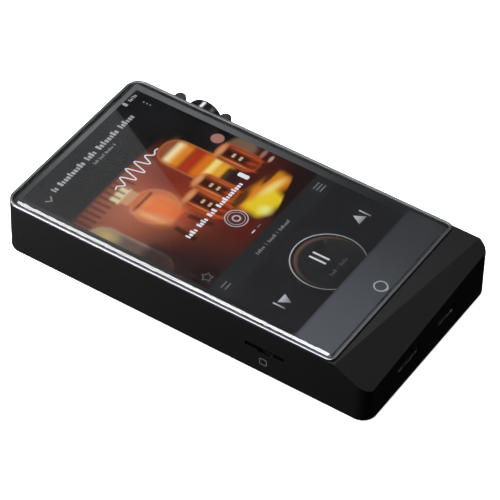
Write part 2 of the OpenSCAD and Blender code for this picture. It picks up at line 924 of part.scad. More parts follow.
// square collar that the shaft pushes in but does not turn
module encoder_plunger() {
    color("#d8d8d4")
        difference() {
            block(plunger_x, plunger_x + plunger_t, knob_y - plunger_half, knob_y + plunger_half,
                side_z - plunger_half, side_z + plunger_half);
            rod_x(0, past, knob_y, side_z, tail_r + shaft_gap);
        }
}

module knob_shaft() {
    color("#c9ccce") {
        rod_x(plunger_x + plunger_t + shaft_gap, knob_end_x - knob_web_t, knob_y, side_z, shaft_r);
        rod_x(plunger_x + 0.1, plunger_x + plunger_t + shaft_gap, knob_y, side_z, tail_r);
    }
}

module volume_knob() {
    color("#2c2d30")
        difference() {
            translate([knob_base_x, knob_y, side_z])
                rotate([0, 90, 0])
                    union() {
                        length = knob_end_x - knob_base_x;
                        cylinder(h = length - knob_round, r = knob_r);
                        cylinder(h = length, r = knob_r - knob_round);
                        translate([0, 0, length - knob_round])
                            rotate_extrude()
                                translate([knob_r - knob_round, 0])
                                    intersection() {
                                        circle(r = knob_round);
                                        square(knob_round);
                                    }
                    }
            rod_x(0, knob_base_x + knob_recess, knob_y, side_z, nut_r + 0.6);
            rod_x(0, knob_end_x - knob_web_t, knob_y, side_z, shaft_r);
            rod_x(knob_end_x - knob_cap_t, past, knob_y, side_z, knob_cap_r);
        }
}

module knob_cap() {
    color("#46484c")
        rod_x(knob_end_x - knob_cap_t, knob_end_x, knob_y, side_z, knob_cap_r);
}

module knob_guards() {
    color("#2a2b2d")
        for (side = [-1, 1]) {
            y = knob_y + side * guard_offset;
            nose_r = guard_w / 2;
            block(half_w, guard_end_x - nose_r, y - nose_r, y + nose_r, guard_z, guard_top_z);
            rod_z(guard_z, guard_top_z, guard_end_x - nose_r, y, nose_r);
            rod_x(half_w - guard_pin_l, half_w, y, side_z, guard_pin_r);
        }
}

module side_board() {
    color("#14532d")
        block(tact_x - 0.6, tact_x, back_y - 4, forward_y + 3.4, side_z - 3, side_z + 2.8);
    color("#a8692a")
        block(tact_x - 0.6, tact_x - 0.4, mainboard_top_y - 2, back_y - 4, mainboard_top,
            side_z + 1.8);
}

module tact_switches() {
    color("#d0d2d4")
        for (y = button_ys) {
            block(tact_x, tact_x + tact_body_t, y - 2.1, y + 2.1, side_z - 1.6, side_z + 1.6);
            rod_x(tact_x + tact_body_t, tact_x + tact_body_t + tact_dome_t, y, side_z, 1);
        }
}

module side_button(y) {
    flange_x = cavity_half_w - 0.05 - flange_t;
    rod_x(flange_x, button_face_x, y, side_z, button_r);
    rod_x(flange_x, flange_x + flange_t, y, side_z, flange_r);
}

module forward_button() {
    color("#2a2b2d")
        side_button(forward_y);
}

module play_button() {
    color("#2a2b2d")
        side_button(play_y);
}

module back_button() {
    color("#2a2b2d")
        side_button(back_y);
}

module rear_cover() {
    color("#18181a")
        difference() {
            round_block(-cover_half_w, cover_half_w, cover_end_y, cover_top_y, 0, cover_t, 2);
            for (spot = cover_screw_spots) {
                rod_z(-1, past, spot[0], spot[1], cover_screw_r);
                rod_z(-1, cover_head_z + cover_head_h, spot[0], spot[1], cover_head_r);
            }
        }
}

module cover_screws() {
    color("#3a3b3e")
        for (spot = cover_screw_spots)
            difference() {
                union() {
                    rod_z(cover_head_z, cover_head_z + cover_head_h, spot[0], spot[1],
                        cover_head_r);
                    rod_z(cover_head_z, boss_top - 0.8, spot[0], spot[1], cover_screw_r);
                }
                translate([spot[0], spot[1], cover_head_z - 0.1])
                    cylinder(h = 0.55, r = 0.8, $fn = 6);
            }
}

// tubes that hold each board the right distance from the inner frame
module pillars() {
    color("#c2a34f") {
        for (spot = mainboard_screw_spots)
            difference() {
                rod_z(mainboard_top, midframe_z, spot[0], spot[1], pillar_r);
                rod_z(0, past, spot[0], spot[1], board_screw_r);
            }
        for (spot = audio_screw_spots)
            difference() {
                rod_z(audio_board_top, midframe_z, spot[0], spot[1], pillar_r);
                rod_z(0, past, spot[0], spot[1], board_screw_r);
            }
    }
}

module board_screw(spot, board_z) {
    rod_z(board_z - board_head_h, board_z, spot[0], spot[1], board_head_r);
    rod_z(board_z, midframe_top, spot[0], spot[1], board_screw_r);
}

module board_screws() {
    color("#8d9094") {
        for (spot = mainboard_screw_spots)
            board_screw(spot, mainboard_z);
        for (spot = audio_screw_spots)
            board_screw(spot, audio_board_z);
    }
}

housing();
rim();
cover_glass();
glass_glue();
ink_border();
home_ring();
touch_layer();
display_panel();
backlight();
display_flex();
midframe();
antenna();
mainboard();
processor();
memory_chip();
flash_chip();
power_chip();
processor_shield();
thermal_pad();
radio_shield();
usb_socket();
link_socket();
card_base();
card_cage();
battery();
battery_leads();
battery_plug();
battery_pad();
ribbon();
audio_board();
converter_chips();
clock_cans();
audio_shield();
amplifier_chips();
audio_capacitors();
phones_jack();
line_jack();
balanced_jack();
socket_rings();
end_plate();
plate_screws();
encoder_case();
encoder_neck();
encoder_nut();
knob_guards();
side_board();
tact_switches();
rear_cover();
cover_screws();
pillars();
board_screws();
encoder_plunger();
knob_shaft();
volume_knob();
knob_cap();
forward_button();
play_button();
back_button();
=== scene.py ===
import json
import math
import bmesh
import bpy
from mathutils import Matrix, Vector


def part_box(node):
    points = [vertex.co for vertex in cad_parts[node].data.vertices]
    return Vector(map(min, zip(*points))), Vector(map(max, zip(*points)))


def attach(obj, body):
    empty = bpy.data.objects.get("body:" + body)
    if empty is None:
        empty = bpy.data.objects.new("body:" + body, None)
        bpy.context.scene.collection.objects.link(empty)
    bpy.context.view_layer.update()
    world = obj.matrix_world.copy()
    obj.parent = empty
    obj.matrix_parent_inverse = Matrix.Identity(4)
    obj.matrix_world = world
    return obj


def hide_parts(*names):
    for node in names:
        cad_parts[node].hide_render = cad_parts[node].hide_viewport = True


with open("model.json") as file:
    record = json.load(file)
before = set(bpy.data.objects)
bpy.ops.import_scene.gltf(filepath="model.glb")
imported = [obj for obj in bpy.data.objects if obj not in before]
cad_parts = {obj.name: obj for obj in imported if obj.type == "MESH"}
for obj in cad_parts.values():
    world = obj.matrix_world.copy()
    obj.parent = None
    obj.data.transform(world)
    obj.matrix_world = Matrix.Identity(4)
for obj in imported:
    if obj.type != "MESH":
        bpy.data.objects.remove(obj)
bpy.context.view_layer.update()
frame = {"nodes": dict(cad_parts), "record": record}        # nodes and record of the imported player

mm = 0.001
flatAreaMm2 = 200    # wider faces than this are shaded flat
rgba = {"data_type": "RGBA"}
print("frame loaded:", len(frame["nodes"]), "nodes")


def linear(hexColour, alpha=1.0):
    # sRGB hex to the linear values that a shader wants
    channels = [int(hexColour[i:i + 2], 16) / 255 for i in (1, 3, 5)]
    return [c / 12.92 if c <= 0.04045 else ((c + 0.055) / 1.055) ** 2.4 for c in channels] + [alpha]


def setInputs(tree, node, values):
    # values may be numbers, colours, sockets, or nodes, whose own output is then used
    for name, value in values.items():
        socket = (node.inputs[name] if isinstance(name, int)
                  else next(s for s in node.inputs if s.name == name and s.enabled))
        if isinstance(value, bpy.types.Node):
            value = next(s for s in value.outputs if s.enabled)
        if isinstance(value, bpy.types.NodeSocket):
            tree.links.new(value, socket)
        else:
            socket.default_value = value


def addNode(tree, kind, settings=None, inputs=None):
    node = tree.nodes.new("ShaderNode" + kind)
    for name, value in (settings or {}).items():
        setattr(node, name, value)
    setInputs(tree, node, inputs or {})
    return node


def startMaterial(name):
    material = bpy.data.materials.new(name)
    material.use_nodes = True
    tree = material.node_tree
    tree.nodes.clear()
    shader = addNode(tree, "BsdfPrincipled")
    addNode(tree, "OutputMaterial", None, {"Surface": shader})
    place = addNode(tree, "TexCoord")
    return material, tree, shader, place.outputs["Object"]


# turns a shape drawn flat: alongX is drawn in y and z and runs deep in x, alongY in x and z, -y
alongX = Matrix(((0, 0, 1, 0), (1, 0, 0, 0), (0, 1, 0, 0), (0, 0, 0, 1)))
alongY = Matrix(((1, 0, 0, 0), (0, 0, -1, 0), (0, 1, 0, 0), (0, 0, 0, 1)))
upright = Matrix.Identity(4)


def bevelEdges(bm, edges, offset, segments):
    return bmesh.ops.bevel(bm, geom=edges, offset=offset, offset_type="OFFSET", segments=segments,
                           profile=0.5, affect="EDGES", material=-1, clamp_overlap=True)


def addSlab(bm, low, high, radii=(0, 0), segments=8):
    # a box in mm, its plan corners rounded: one radius at the low y end, one at the high y end
    low, high = Vector(low) * mm, Vector(high) * mm
    verts = bmesh.ops.create_cube(bm, size=1)["verts"]
    bmesh.ops.scale(bm, vec=high - low, verts=verts)
    bmesh.ops.translate(bm, vec=(low + high) / 2, verts=verts)
    middle, tall = (low.y + high.y) / 2, 0.9 * (high.z - low.z)
    for radius, side in ((radii[0], -1), (radii[1], 1)):
        edges = [e for e in bm.edges if abs(e.verts[0].co.z - e.verts[1].co.z) > tall
                 and (e.verts[0].co.y - middle) * side > 0 and e.calc_face_angle(0) > 1]
        if radius:
            bevelEdges(bm, edges, radius * mm, segments)


def middleOf(edge):
    return (edge.verts[0].co + edge.verts[1].co) / 2


def sharpEdges(bm, angle=30, test=None):
    limit = math.radians(angle)
    return [e for e in bm.edges if len(e.link_faces) == 2 and e.calc_face_angle(0) > limit
            and (test is None or test(e))]


def addTurned(bm, profile, steps=64):
    # profile is a closed run of (radius, height) in mm, turned round the z axis
    verts = [bm.verts.new((r * mm, 0, h * mm)) for r, h in profile]
    edges = [bm.edges.new((verts[i - 1], verts[i])) for i in range(len(verts))]
    bmesh.ops.spin(bm, geom=verts + edges, cent=(0, 0, 0), axis=(0, 0, 1), angle=2 * math.pi,
                   steps=steps, use_merge=True)
    bmesh.ops.remove_doubles(bm, verts=bm.verts, dist=1e-7)
    bmesh.ops.dissolve_degenerate(bm, edges=bm.edges, dist=1e-8)
    inside = [e for e in bm.edges if not e.link_faces]
    bmesh.ops.delete(bm, geom=inside, context="EDGES")
    bmesh.ops.recalc_face_normals(bm, faces=bm.faces)


def slabPart(low, high, radii=(0, 0), segments=6, bevel=0, bevelSteps=2, turn=upright):
    # a rounded box with eased edges, as a bmesh of its own
    bm = bmesh.new()
    addSlab(bm, low, high, radii, segments)
    if bevel:
        bevelEdges(bm, sharpEdges(bm, 60), bevel * mm, bevelSteps)
    bm.transform(turn)
    bmesh.ops.recalc_face_normals(bm, faces=bm.faces)
    return bm


def turnedPart(profile, turn=upright, move=(0, 0, 0), steps=48):
    bm = bmesh.new()
    addTurned(bm, profile, steps)
    bm.transform(Matrix.Translation(Vector(move) * mm) @ turn)
    bmesh.ops.recalc_face_normals(bm, faces=bm.faces)
    return bm


def joinParts(parts):
    # puts finished bmeshes into one
    whole = bmesh.new()
    mesh = bpy.data.meshes.new("joining")
    for part in parts:
        part.to_mesh(mesh)
        whole.from_mesh(mesh)
        part.free()
    bpy.data.meshes.remove(mesh)
    return whole


def makeObject(bm, name, material=None):
    mesh = bpy.data.meshes.new(name)
    bm.to_mesh(mesh)
    bm.free()
    if material:
        mesh.materials.append(material)
    piece = bpy.data.objects.new(name, mesh)
    bpy.context.scene.collection.objects.link(piece)
    return piece


def cutAway(piece, cutters):
    # cutters are finished bmeshes, each taken out of the piece in turn
    for number, cutter in enumerate(cutters):
        if cutter.calc_volume(signed=True) < 0:
            bmesh.ops.reverse_faces(cutter, faces=cutter.faces)
        step = piece.modifiers.new(f"cut{number}", "BOOLEAN")
        step.operation = "DIFFERENCE"
        step.solver = "EXACT"
        step.object = makeObject(cutter, f"cutter{number}")
    graph = bpy.context.evaluated_depsgraph_get()
    result = bpy.data.meshes.new_from_object(piece.evaluated_get(graph))
    tools = [step.object for step in piece.modifiers]
    piece.modifiers.clear()
    piece.data = result
    for tool in tools:
        bpy.data.objects.remove(tool)


def settlePiece(piece, body="player", replaces=(), sharpAngle=32):
    # even shading with sharp creases, then the body it rides on and the nodes it stands for
    piece.data.shade_smooth()
    piece.data.set_sharp_from_angle(angle=math.radians(sharpAngle))
    for face in piece.data.polygons:
        if face.area > flatAreaMm2 * mm * mm:
            face.use_smooth = False
    even = piece.modifiers.new("evenShading", "WEIGHTED_NORMAL")
    even.keep_sharp = True
    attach(piece, body)
    if replaces:
        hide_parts(*replaces)
    return piece


def boxMm(node):
    low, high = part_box(node)
    return low / mm, high / mm


def centreMm(node):
    return [(a + b) / 2 for a, b in zip(*boxMm(node))]


view = {"lensMm": 217.65, "sensorMm": 36, "aimMm": (-1.44, -2.22, 9.0), "azimuth": -57.843,
        "elevation": 44.574, "distanceMm": 845.06, "rollDegrees": 1.873}


def placeCamera():
    azimuth, elevation = math.radians(view["azimuth"]), math.radians(view["elevation"])
    roll = math.radians(view["rollDegrees"])
    back = Vector((math.sin(azimuth) * math.cos(elevation),
                   -math.cos(azimuth) * math.cos(elevation), math.sin(elevation)))
    level = Vector((0, 0, 1)).cross(back).normalized()
    right = level * math.cos(roll) + back.cross(level) * math.sin(roll)
    up = back.cross(right)
    data = bpy.data.cameras.new("camera")
    data.lens = view["lensMm"]
    data.sensor_width = view["sensorMm"]
    data.clip_start, data.clip_end = 0.05, 20
    camera = bpy.data.objects.new("camera", data)
    bpy.context.scene.collection.objects.link(camera)
    turn = Matrix((right, up, back)).transposed().to_4x4()
    spot = (Vector(view["aimMm"]) + back * view["distanceMm"]) * mm
    camera.matrix_world = Matrix.Translation(spot) @ turn
    bpy.context.scene.camera = camera


placeCamera()

studio = {"floorHalf": 4.0, "floorColour": "#f4f4f4", "floorGlow": 0.8, "backdrop": "#ffffff",
          "fill": 0.02, "dropMm": 0.02}
lamps = {   # softboxes: where they stand (m), where they face (m), width and height (m), watts
    "overheadSoftbox": ((-0.5, 0.1, 1.5), (-0.1, 0, 0), (1.5, 1.5), 26),
    "sideSoftbox": ((-0.05, 0.22, 0.52), (-0.05, 0.22, 0), (0.4, 0.42), 9.0),
    "lowLamp": ((-0.2, 0.16, 0.03), (-0.032, 0.05, 0.008), (0.1, 0.04), 1.2),
    "chinSoftbox": ((0.56, -0.42, 0.71), (0, -0.05, 0.02), (0.35, 0.35), 0.5),
    "knobCard": ((0.4375, 0.285, 0.418), (0.035, 0.038, 0.015), (0.12, 0.16), 0.6),
}
card = {"heightMm": 400, "glassTopMm": 18, "light": 0.33, "fadeMm": (10, 32),
        "cornersMm": ((-60, 8), (-9, 8), (22.7, 66.8), (-60, 66.8))}


def buildStudio():
    floor = bmesh.new()
    bmesh.ops.create_grid(floor, x_segments=8, y_segments=8, size=studio["floorHalf"])
    plane = makeObject(floor, "floor", paperFloor("pale seamless paper"))
    plane.visible_glossy = plane.visible_diffuse = False    # so that the black walls stay black
    plane.location.z = -studio["dropMm"] * mm
    world = bpy.data.worlds.new("studio")
    world.use_nodes = True
    tree = world.node_tree
    tree.nodes.clear()
    seen = addNode(tree, "Background", None, {"Color": linear(studio["backdrop"])})
    fill = addNode(tree, "Background", None, {"Strength": studio["fill"],
                                              "Color": linear("#ffffff")})
    rays = addNode(tree, "LightPath")
    both = addNode(tree, "MixShader", None, {0: rays.outputs["Is Camera Ray"], 1: fill, 2: seen})
    addNode(tree, "OutputWorld", None, {"Surface": both})
    bpy.context.scene.world = world
    for name, (spot, target, size, watts) in lamps.items():
        data = bpy.data.lights.new(name, "AREA")
        data.shape = "RECTANGLE"
        data.size, data.size_y = size
        data.energy = watts
        lamp = bpy.data.objects.new(name, data)
        aim = Vector(target) - Vector(spot)
        lamp.location = spot
        lamp.rotation_euler = aim.to_track_quat("-Z", "Y").to_euler()
        lamp.visible_camera = False
        bpy.context.scene.collection.objects.link(lamp)


def buildCard():
    # a hanging card that the front glass mirrors as a pale slanting band over the picture
    eye = bpy.context.scene.camera.location / mm
    top = card["glassTopMm"]
    grow = card["heightMm"] / (eye.z - top)
    bm = bmesh.new()
    verts = []
    for x, y in card["cornersMm"]:
        spot = Vector((x + grow * (x - eye.x), y + grow * (y - eye.y), top + card["heightMm"]))
        verts.append(bm.verts.new(spot * mm))
    bm.faces.new(verts)
    material, tree, shader, place = startMaterial("softly lit card")
    axes = addNode(tree, "SeparateXYZ", None, {"Vector": place})
    low, high = ((y + grow * (y - eye.y)) * mm for y in card["fadeMm"])
    fade = addNode(tree, "MapRange", {"interpolation_type": "SMOOTHSTEP"},
                   {"Value": axes.outputs["Y"], "From Min": low, "From Max": high,
                    "To Max": card["light"]})
    setInputs(tree, shader, {"Base Color": linear("#000000"), "Emission Strength": fade,
                             "Emission Color": linear("#ffffff"), "Specular IOR Level": 0.0})
    sheet = makeObject(bm, "reflectorCard", material)
    sheet.visible_camera = sheet.visible_diffuse = sheet.visible_shadow = False


def paperFloor(name):
    # matt white backdrop paper: a clean white that only takes the soft shadow
    material, tree, shader, place = startMaterial(name)
    fibre = addNode(tree, "TexNoise", None, {"Vector": place, "Scale": 400, "Detail": 3})
    tone = addNode(tree, "Mix", rgba, {"Factor": fibre, "A": linear(studio["floorColour"]),
                                       "B": linear("#ffffff")})
    setInputs(tree, shader, {"Base Color": tone, "Roughness": 0.9, "Specular IOR Level": 0.1,
                             "Emission Color": tone, "Emission Strength": studio["floorGlow"]})
    below = addNode(tree, "NewGeometry")
    clear = addNode(tree, "BsdfTransparent")
    paper = addNode(tree, "MixShader", None, {0: below.outputs["Backfacing"], 1: shader, 2: clear})
    output = next(node for node in tree.nodes if node.type == "OUTPUT_MATERIAL")
    setInputs(tree, output, {"Surface": paper})
    return material


buildStudio()
buildCard()
bpy.context.scene.view_settings.view_transform = "Standard"
print("camera and studio ready")


def anodisedBlack(name, look):
    # bead blasted aluminium under dyed black oxide: near black, a soft sheen, fine even grain
    material, tree, shader, place = startMaterial(name)
    grain = addNode(tree, "TexNoise", None, {"Vector": place, "Scale": 1000 / look["grainMm"],
                                             "Detail": 2})
    drift = addNode(tree, "TexNoise", None, {"Vector": place, "Scale": 1000 / look["driftMm"],
                                             "Detail": 1})
    tone = addNode(tree, "Mix", rgba, {"Factor": drift, "A": linear(look["dark"]),
                                       "B": linear(look["light"])})
    rough = addNode(tree, "MapRange", None, {"Value": grain, "To Min": look["roughLow"],
                                             "To Max": look["roughHigh"]})
    bump = addNode(tree, "Bump", None, {"Height": grain, "Strength": look["bump"],
                                        "Distance": look["grainMm"] * 0.5 * mm})
    setInputs(tree, shader, {"Base Color": tone, "Roughness": rough, "Normal": bump, "IOR": 1.5,
                             "Specular IOR Level": look["gloss"]})
    return material


def finishedMetal(name, look):
    # brushed, drawn, cast or plated metal: fine streaks or grain under a broad highlight
    material, tree, shader, place = startMaterial(name)
    stretch = addNode(tree, "Mapping", None, {"Vector": place,
                                              "Scale": look.get("stretch", (1, 1, 1))})
    grain = addNode(tree, "TexNoise", None, {"Vector": stretch, "Scale": 1000 / look["grainMm"],
                                             "Detail": 3})
    tone = addNode(tree, "Mix", rgba, {"Factor": grain, "A": linear(look["dark"]),
                                       "B": linear(look["light"])})
    rough = addNode(tree, "MapRange", None, {"Value": grain, "To Min": look["roughLow"],
                                             "To Max": look["roughHigh"]})
    bump = addNode(tree, "Bump", None, {"Height": grain, "Strength": look["bump"],
                                        "Distance": 0.01 * mm})
    setInputs(tree, shader, {"Base Color": tone, "Metallic": 1.0, "Roughness": rough,
                             "Normal": bump})
    return material


def mouldedSurface(name, look):
    # moulded plastic, foam, film and foil: even colour with the tool's light texture
    material, tree, shader, place = startMaterial(name)
    grain = addNode(tree, "TexNoise", None, {"Vector": place, "Scale": 1000 / look["grainMm"],
                                             "Detail": 2})
    tone = addNode(tree, "Mix", rgba, {"Factor": grain, "A": linear(look["dark"]),
                                       "B": linear(look["light"])})
    rough = addNode(tree, "MapRange", None, {"Value": grain, "To Min": look["roughLow"],
                                             "To Max": look["roughHigh"]})
    bump = addNode(tree, "Bump", None, {"Height": grain, "Strength": look["bump"],
                                        "Distance": 0.02 * mm})
    setInputs(tree, shader, {"Base Color": tone, "Roughness": rough, "Normal": bump, "IOR": 1.46})
    return material


def circuitBoard(name, look):
    # solder mask over copper: raised tracks on a grid and bright pads under a glossy coat
    material, tree, shader, place = startMaterial(name)
    tracks = addNode(tree, "TexBrick", {"offset": 0.37, "squash": 0.6, "squash_frequency": 3},
                     {"Vector": place, "Scale": 1000 / look["trackMm"], "Mortar Size": 0.08,
                      "Mortar Smooth": 0.4, "Brick Width": 1.7, "Row Height": 0.6,
                      "Color1": linear(look["mask"]), "Color2": linear(look["maskDark"]),
                      "Mortar": linear(look["track"])})
    spots = addNode(tree, "TexVoronoi", None, {"Vector": place, "Scale": 1000 / look["padMm"],
                                               "Randomness": 0.7})
    pads = addNode(tree, "Math", {"operation": "LESS_THAN"}, {0: spots, 1: 0.16})
    tone = addNode(tree, "Mix", rgba, {"Factor": pads, "A": tracks, "B": linear(look["pad"])})
    bump = addNode(tree, "Bump", None, {"Height": tracks.outputs["Fac"], "Strength": 0.3,
                                        "Distance": 0.03 * mm})
    setInputs(tree, shader, {"Base Color": tone, "Roughness": 0.35, "Metallic": pads,
                             "Normal": bump})
    return material


def polishedGlass(name, look):
    # strengthened cover glass: clear, flat polished, with a faint uneven grease film on top
    material, tree, shader, place = startMaterial(name)
    smear = addNode(tree, "TexNoise", None, {"Vector": place, "Scale": 1000 / look["smearMm"],
                                             "Detail": 3})
    tone = addNode(tree, "Mix", rgba, {"Factor": smear, "A": linear(look["tint"]),
                                       "B": linear(look["smeared"])})
    setInputs(tree, shader, {"Base Color": tone, "Transmission Weight": 1.0, "IOR": 1.51,
                             "Roughness": 0.0})
    return material


def inkWithPaintedGlow(name, look):
    # screen printed ink behind the glass, which glows by itself as painted light in place of the lamps' light
    # through it: a smoky grey whose painted glow is paler at the headphone end and shaded towards the left, with a
    # painted sideways fade on the strip that holds the home ring
    material, tree, shader, place = startMaterial(name)
    axes = addNode(tree, "SeparateXYZ", None, {"Vector": place})
    tones = {}
    for part, axis in (("along", "Y"), ("across", "X"), ("chin", "X"), ("strip", "Y")):
        tones[part] = addNode(tree, "MapRange", {"interpolation_type": "SMOOTHSTEP"},
                              {"Value": axes.outputs[axis], "From Min": look[part][0] * mm,
                               "From Max": look[part][1] * mm})
    border = addNode(tree, "Mix", rgba, {"Factor": tones["along"], "A": linear(look["near"]),
                                         "B": linear(look["far"])})
    corner = addNode(tree, "Mix", {"data_type": "RGBA", "blend_type": "MULTIPLY"},
                     {"Factor": 1.0, "A": border, "B": addNode(tree, "Mix", rgba, {
                         "Factor": tones["across"], "A": linear(look["leftShade"]),
                         "B": linear("#ffffff")})})
    chin = addNode(tree, "Mix", rgba, {"Factor": tones["chin"], "A": linear(look["left"]),
                                       "B": linear(look["right"])})
    tone = addNode(tree, "Mix", rgba, {"Factor": tones["strip"], "A": chin, "B": corner})
    specks = addNode(tree, "TexNoise", None, {"Vector": place, "Scale": 1000 / look["grainMm"]})
    shade = addNode(tree, "Mix", {"data_type": "RGBA", "blend_type": "MULTIPLY"},
                    {"Factor": 0.15, "A": tone, "B": specks.outputs["Color"]})
    setInputs(tree, shader, {"Base Color": linear("#0c0d0f"), "Emission Color": shade,
                             "Roughness": 0.5, "Specular IOR Level": 0.1,
                             "Emission Strength": look["glow"]})
    return material


def litPrint(name, look):
    # bright marks of the lit display: plain light that dims from its top to its bottom
    material, tree, shader, place = startMaterial(name)
    axes = addNode(tree, "SeparateXYZ", None, {"Vector": place})
    along = addNode(tree, "MapRange", {"interpolation_type": "SMOOTHSTEP"},
                    {"Value": axes.outputs["Y"], "From Min": look["fromMm"] * mm,
                     "From Max": look["toMm"] * mm})
    tone = addNode(tree, "Mix", rgba, {"Factor": along, "A": linear(look["low"]),
                                       "B": linear(look["high"])})
    setInputs(tree, shader, {"Base Color": linear("#000000"), "Roughness": 0.5,
                             "Emission Color": tone, "Emission Strength": 1.0})
    return material


blackLook = {"dark": "#060505", "light": "#0b0a0a", "grainMm": 0.16, "driftMm": 22.0,
             "roughLow": 0.36, "roughHigh": 0.5, "bump": 0.35, "gloss": 0.17}
knobLook = {"dark": "#0a0a0b", "light": "#101011", "grainMm": 0.3, "driftMm": 6.0,
            "roughLow": 0.1, "roughHigh": 0.16, "bump": 0.03, "gloss": 0.9}
edgeLook = {"grainMm": 0.12, "dark": "#5c5d61", "light": "#707175", "roughLow": 0.28,
            "roughHigh": 0.4, "bump": 0.1}
sheetLook = {"stretch": (1, 0.05, 1), "grainMm": 0.15, "dark": "#8f9294", "light": "#b4b7ba",
             "roughLow": 0.25, "roughHigh": 0.45, "bump": 0.2}
castLook = {"grainMm": 0.4, "dark": "#85888b", "light": "#a3a6a9", "roughLow": 0.45,
            "roughHigh": 0.6, "bump": 0.5}
brassLook = {"stretch": (0.1, 1, 1), "grainMm": 0.1, "dark": "#a07f39", "light": "#c9a455",
             "roughLow": 0.2, "roughHigh": 0.35, "bump": 0.2}
goldLook = {"grainMm": 0.2, "dark": "#c08a35", "light": "#dcae58", "roughLow": 0.12,
            "roughHigh": 0.2, "bump": 0.05}
blackSteelLook = {"grainMm": 0.2, "dark": "#26272a", "light": "#34363a", "roughLow": 0.3,
                  "roughHigh": 0.42, "bump": 0.2}
blackPlasticLook = {"grainMm": 0.2, "dark": "#0e0e0f", "light": "#171718", "roughLow": 0.4,
                    "roughHigh": 0.55, "bump": 0.3}
whitePlasticLook = {"grainMm": 0.3, "dark": "#cfcbbe", "light": "#e2dfd3", "roughLow": 0.4,
                    "roughHigh": 0.5, "bump": 0.2}
resinLook = {"grainMm": 0.15, "dark": "#17181b", "light": "#232427", "roughLow": 0.55,
             "roughHigh": 0.7, "bump": 0.4}
foilLook = {"grainMm": 3.0, "dark": "#30343a", "light": "#43484f", "roughLow": 0.28,
            "roughHigh": 0.42, "bump": 0.9}
foamLook = {"grainMm": 0.3, "dark": "#0f0f10", "light": "#18181a", "roughLow": 0.75,
            "roughHigh": 0.9, "bump": 0.4}
siliconeLook = {"grainMm": 0.4, "dark": "#6b7884", "light": "#7f8c98", "roughLow": 0.6,
                "roughHigh": 0.75, "bump": 0.4}
filmLook = {"grainMm": 0.6, "dark": "#9a4f14", "light": "#c37a2c", "roughLow": 0.2,
            "roughHigh": 0.35, "bump": 0.2}
insulationLook = {"grainMm": 0.4, "dark": "#8e120b", "light": "#a91b12", "roughLow": 0.4,
                  "roughHigh": 0.5, "bump": 0.1}
tantalumLook = {"grainMm": 0.2, "dark": "#8a5a1c", "light": "#a5742c", "roughLow": 0.45,
                "roughHigh": 0.6, "bump": 0.3}
cellLook = {"grainMm": 0.1, "dark": "#07080a", "light": "#0b0c0f", "roughLow": 0.15,
            "roughHigh": 0.2, "bump": 0.02}
greenLook = {"mask": "#0d4a24", "maskDark": "#0a3c1d", "track": "#1c6b38", "pad": "#c9a24a",
             "trackMm": 1.2, "padMm": 1.6}
blueLook = {"mask": "#0c2a5c", "maskDark": "#09214a", "track": "#1c4786", "pad": "#c9a24a",
            "trackMm": 1.2, "padMm": 1.6}
glassLook = {"tint": "#f4f6fa", "smeared": "#e9ebef", "smearMm": 9.0}
# painted light on the border ink: its glow runs from dark near the charging end to pale at the headphone end, is
# shaded towards the left, and on the chin strip fades darker from left to right
borderPaintedLight = {"near": "#19191b", "far": "#646566", "leftShade": "#9a9a9a", "left": "#54585d",
              "right": "#343537", "along": (-32, 45), "across": (-26, 6), "chin": (-30, 28),
              "strip": (-35.5, -33.5), "glow": 1.0, "grainMm": 0.25}
# the home key ink glows with the same painted light, one even pale grey
homePaintedGlow = dict(borderPaintedLight, left="#a8aaae", right="#a8aaae", near="#a8aaae", far="#a8aaae")

finishes = {
    "black_anodised": anodisedBlack("blasted black anodised aluminium", blackLook),
    "polished_black": anodisedBlack("polished black anodised aluminium", knobLook),
    "grey_anodised": finishedMetal("satin grey anodised aluminium", edgeLook),
    "cover_glass": polishedGlass("strengthened cover glass", glassLook),
    "black_rubber": mouldedSurface("black adhesive foam", foamLook),
    # these two inks glow by themselves as painted light instead of being lit by the lamps
    "border_ink": inkWithPaintedGlow("smoke grey border ink with painted glow", borderPaintedLight),
    "home_ink": inkWithPaintedGlow("pale grey home key ink with painted glow", homePaintedGlow),
    "display_glass": mouldedSurface("display cell glass", cellLook),
    "white_plastic": mouldedSurface("moulded white nylon", whitePlasticLook),
    "amber_film": mouldedSurface("amber polyimide film", filmLook),
    "bare_aluminium": finishedMetal("die cast aluminium", castLook),
    "green_board": circuitBoard("green solder mask board", greenLook),
    "blue_board": circuitBoard("blue solder mask board", blueLook),
    "chip_resin": mouldedSurface("moulded epoxy chip", resinLook),
    "tinned_steel": finishedMetal("tin plated steel sheet", sheetLook),
    "socket_steel": finishedMetal("drawn stainless steel", sheetLook),
    "grey_silicone": mouldedSurface("soft silicone pad", siliconeLook),
    "black_plastic": mouldedSurface("moulded black nylon", blackPlasticLook),
    "battery_wrap": mouldedSurface("laminated foil pouch", foilLook),
    "red_insulation": mouldedSurface("extruded red insulation", insulationLook),
    "capacitor_case": mouldedSurface("moulded tantalum case", tantalumLook),
    "gold_plate": finishedMetal("gold plated brass", goldLook),
    "turned_brass": finishedMetal("turned brass", brassLook),
    "black_steel": finishedMetal("black oxide steel", blackSteelLook),
}
nodeSlot = {part["node"]: part["material_slot"] for part in frame["record"]["subparts"]}
for name, node in frame["nodes"].items():
    for place in node.material_slots:
        place.material = finishes[nodeSlot[name]]
print("materials made:", len(finishes))

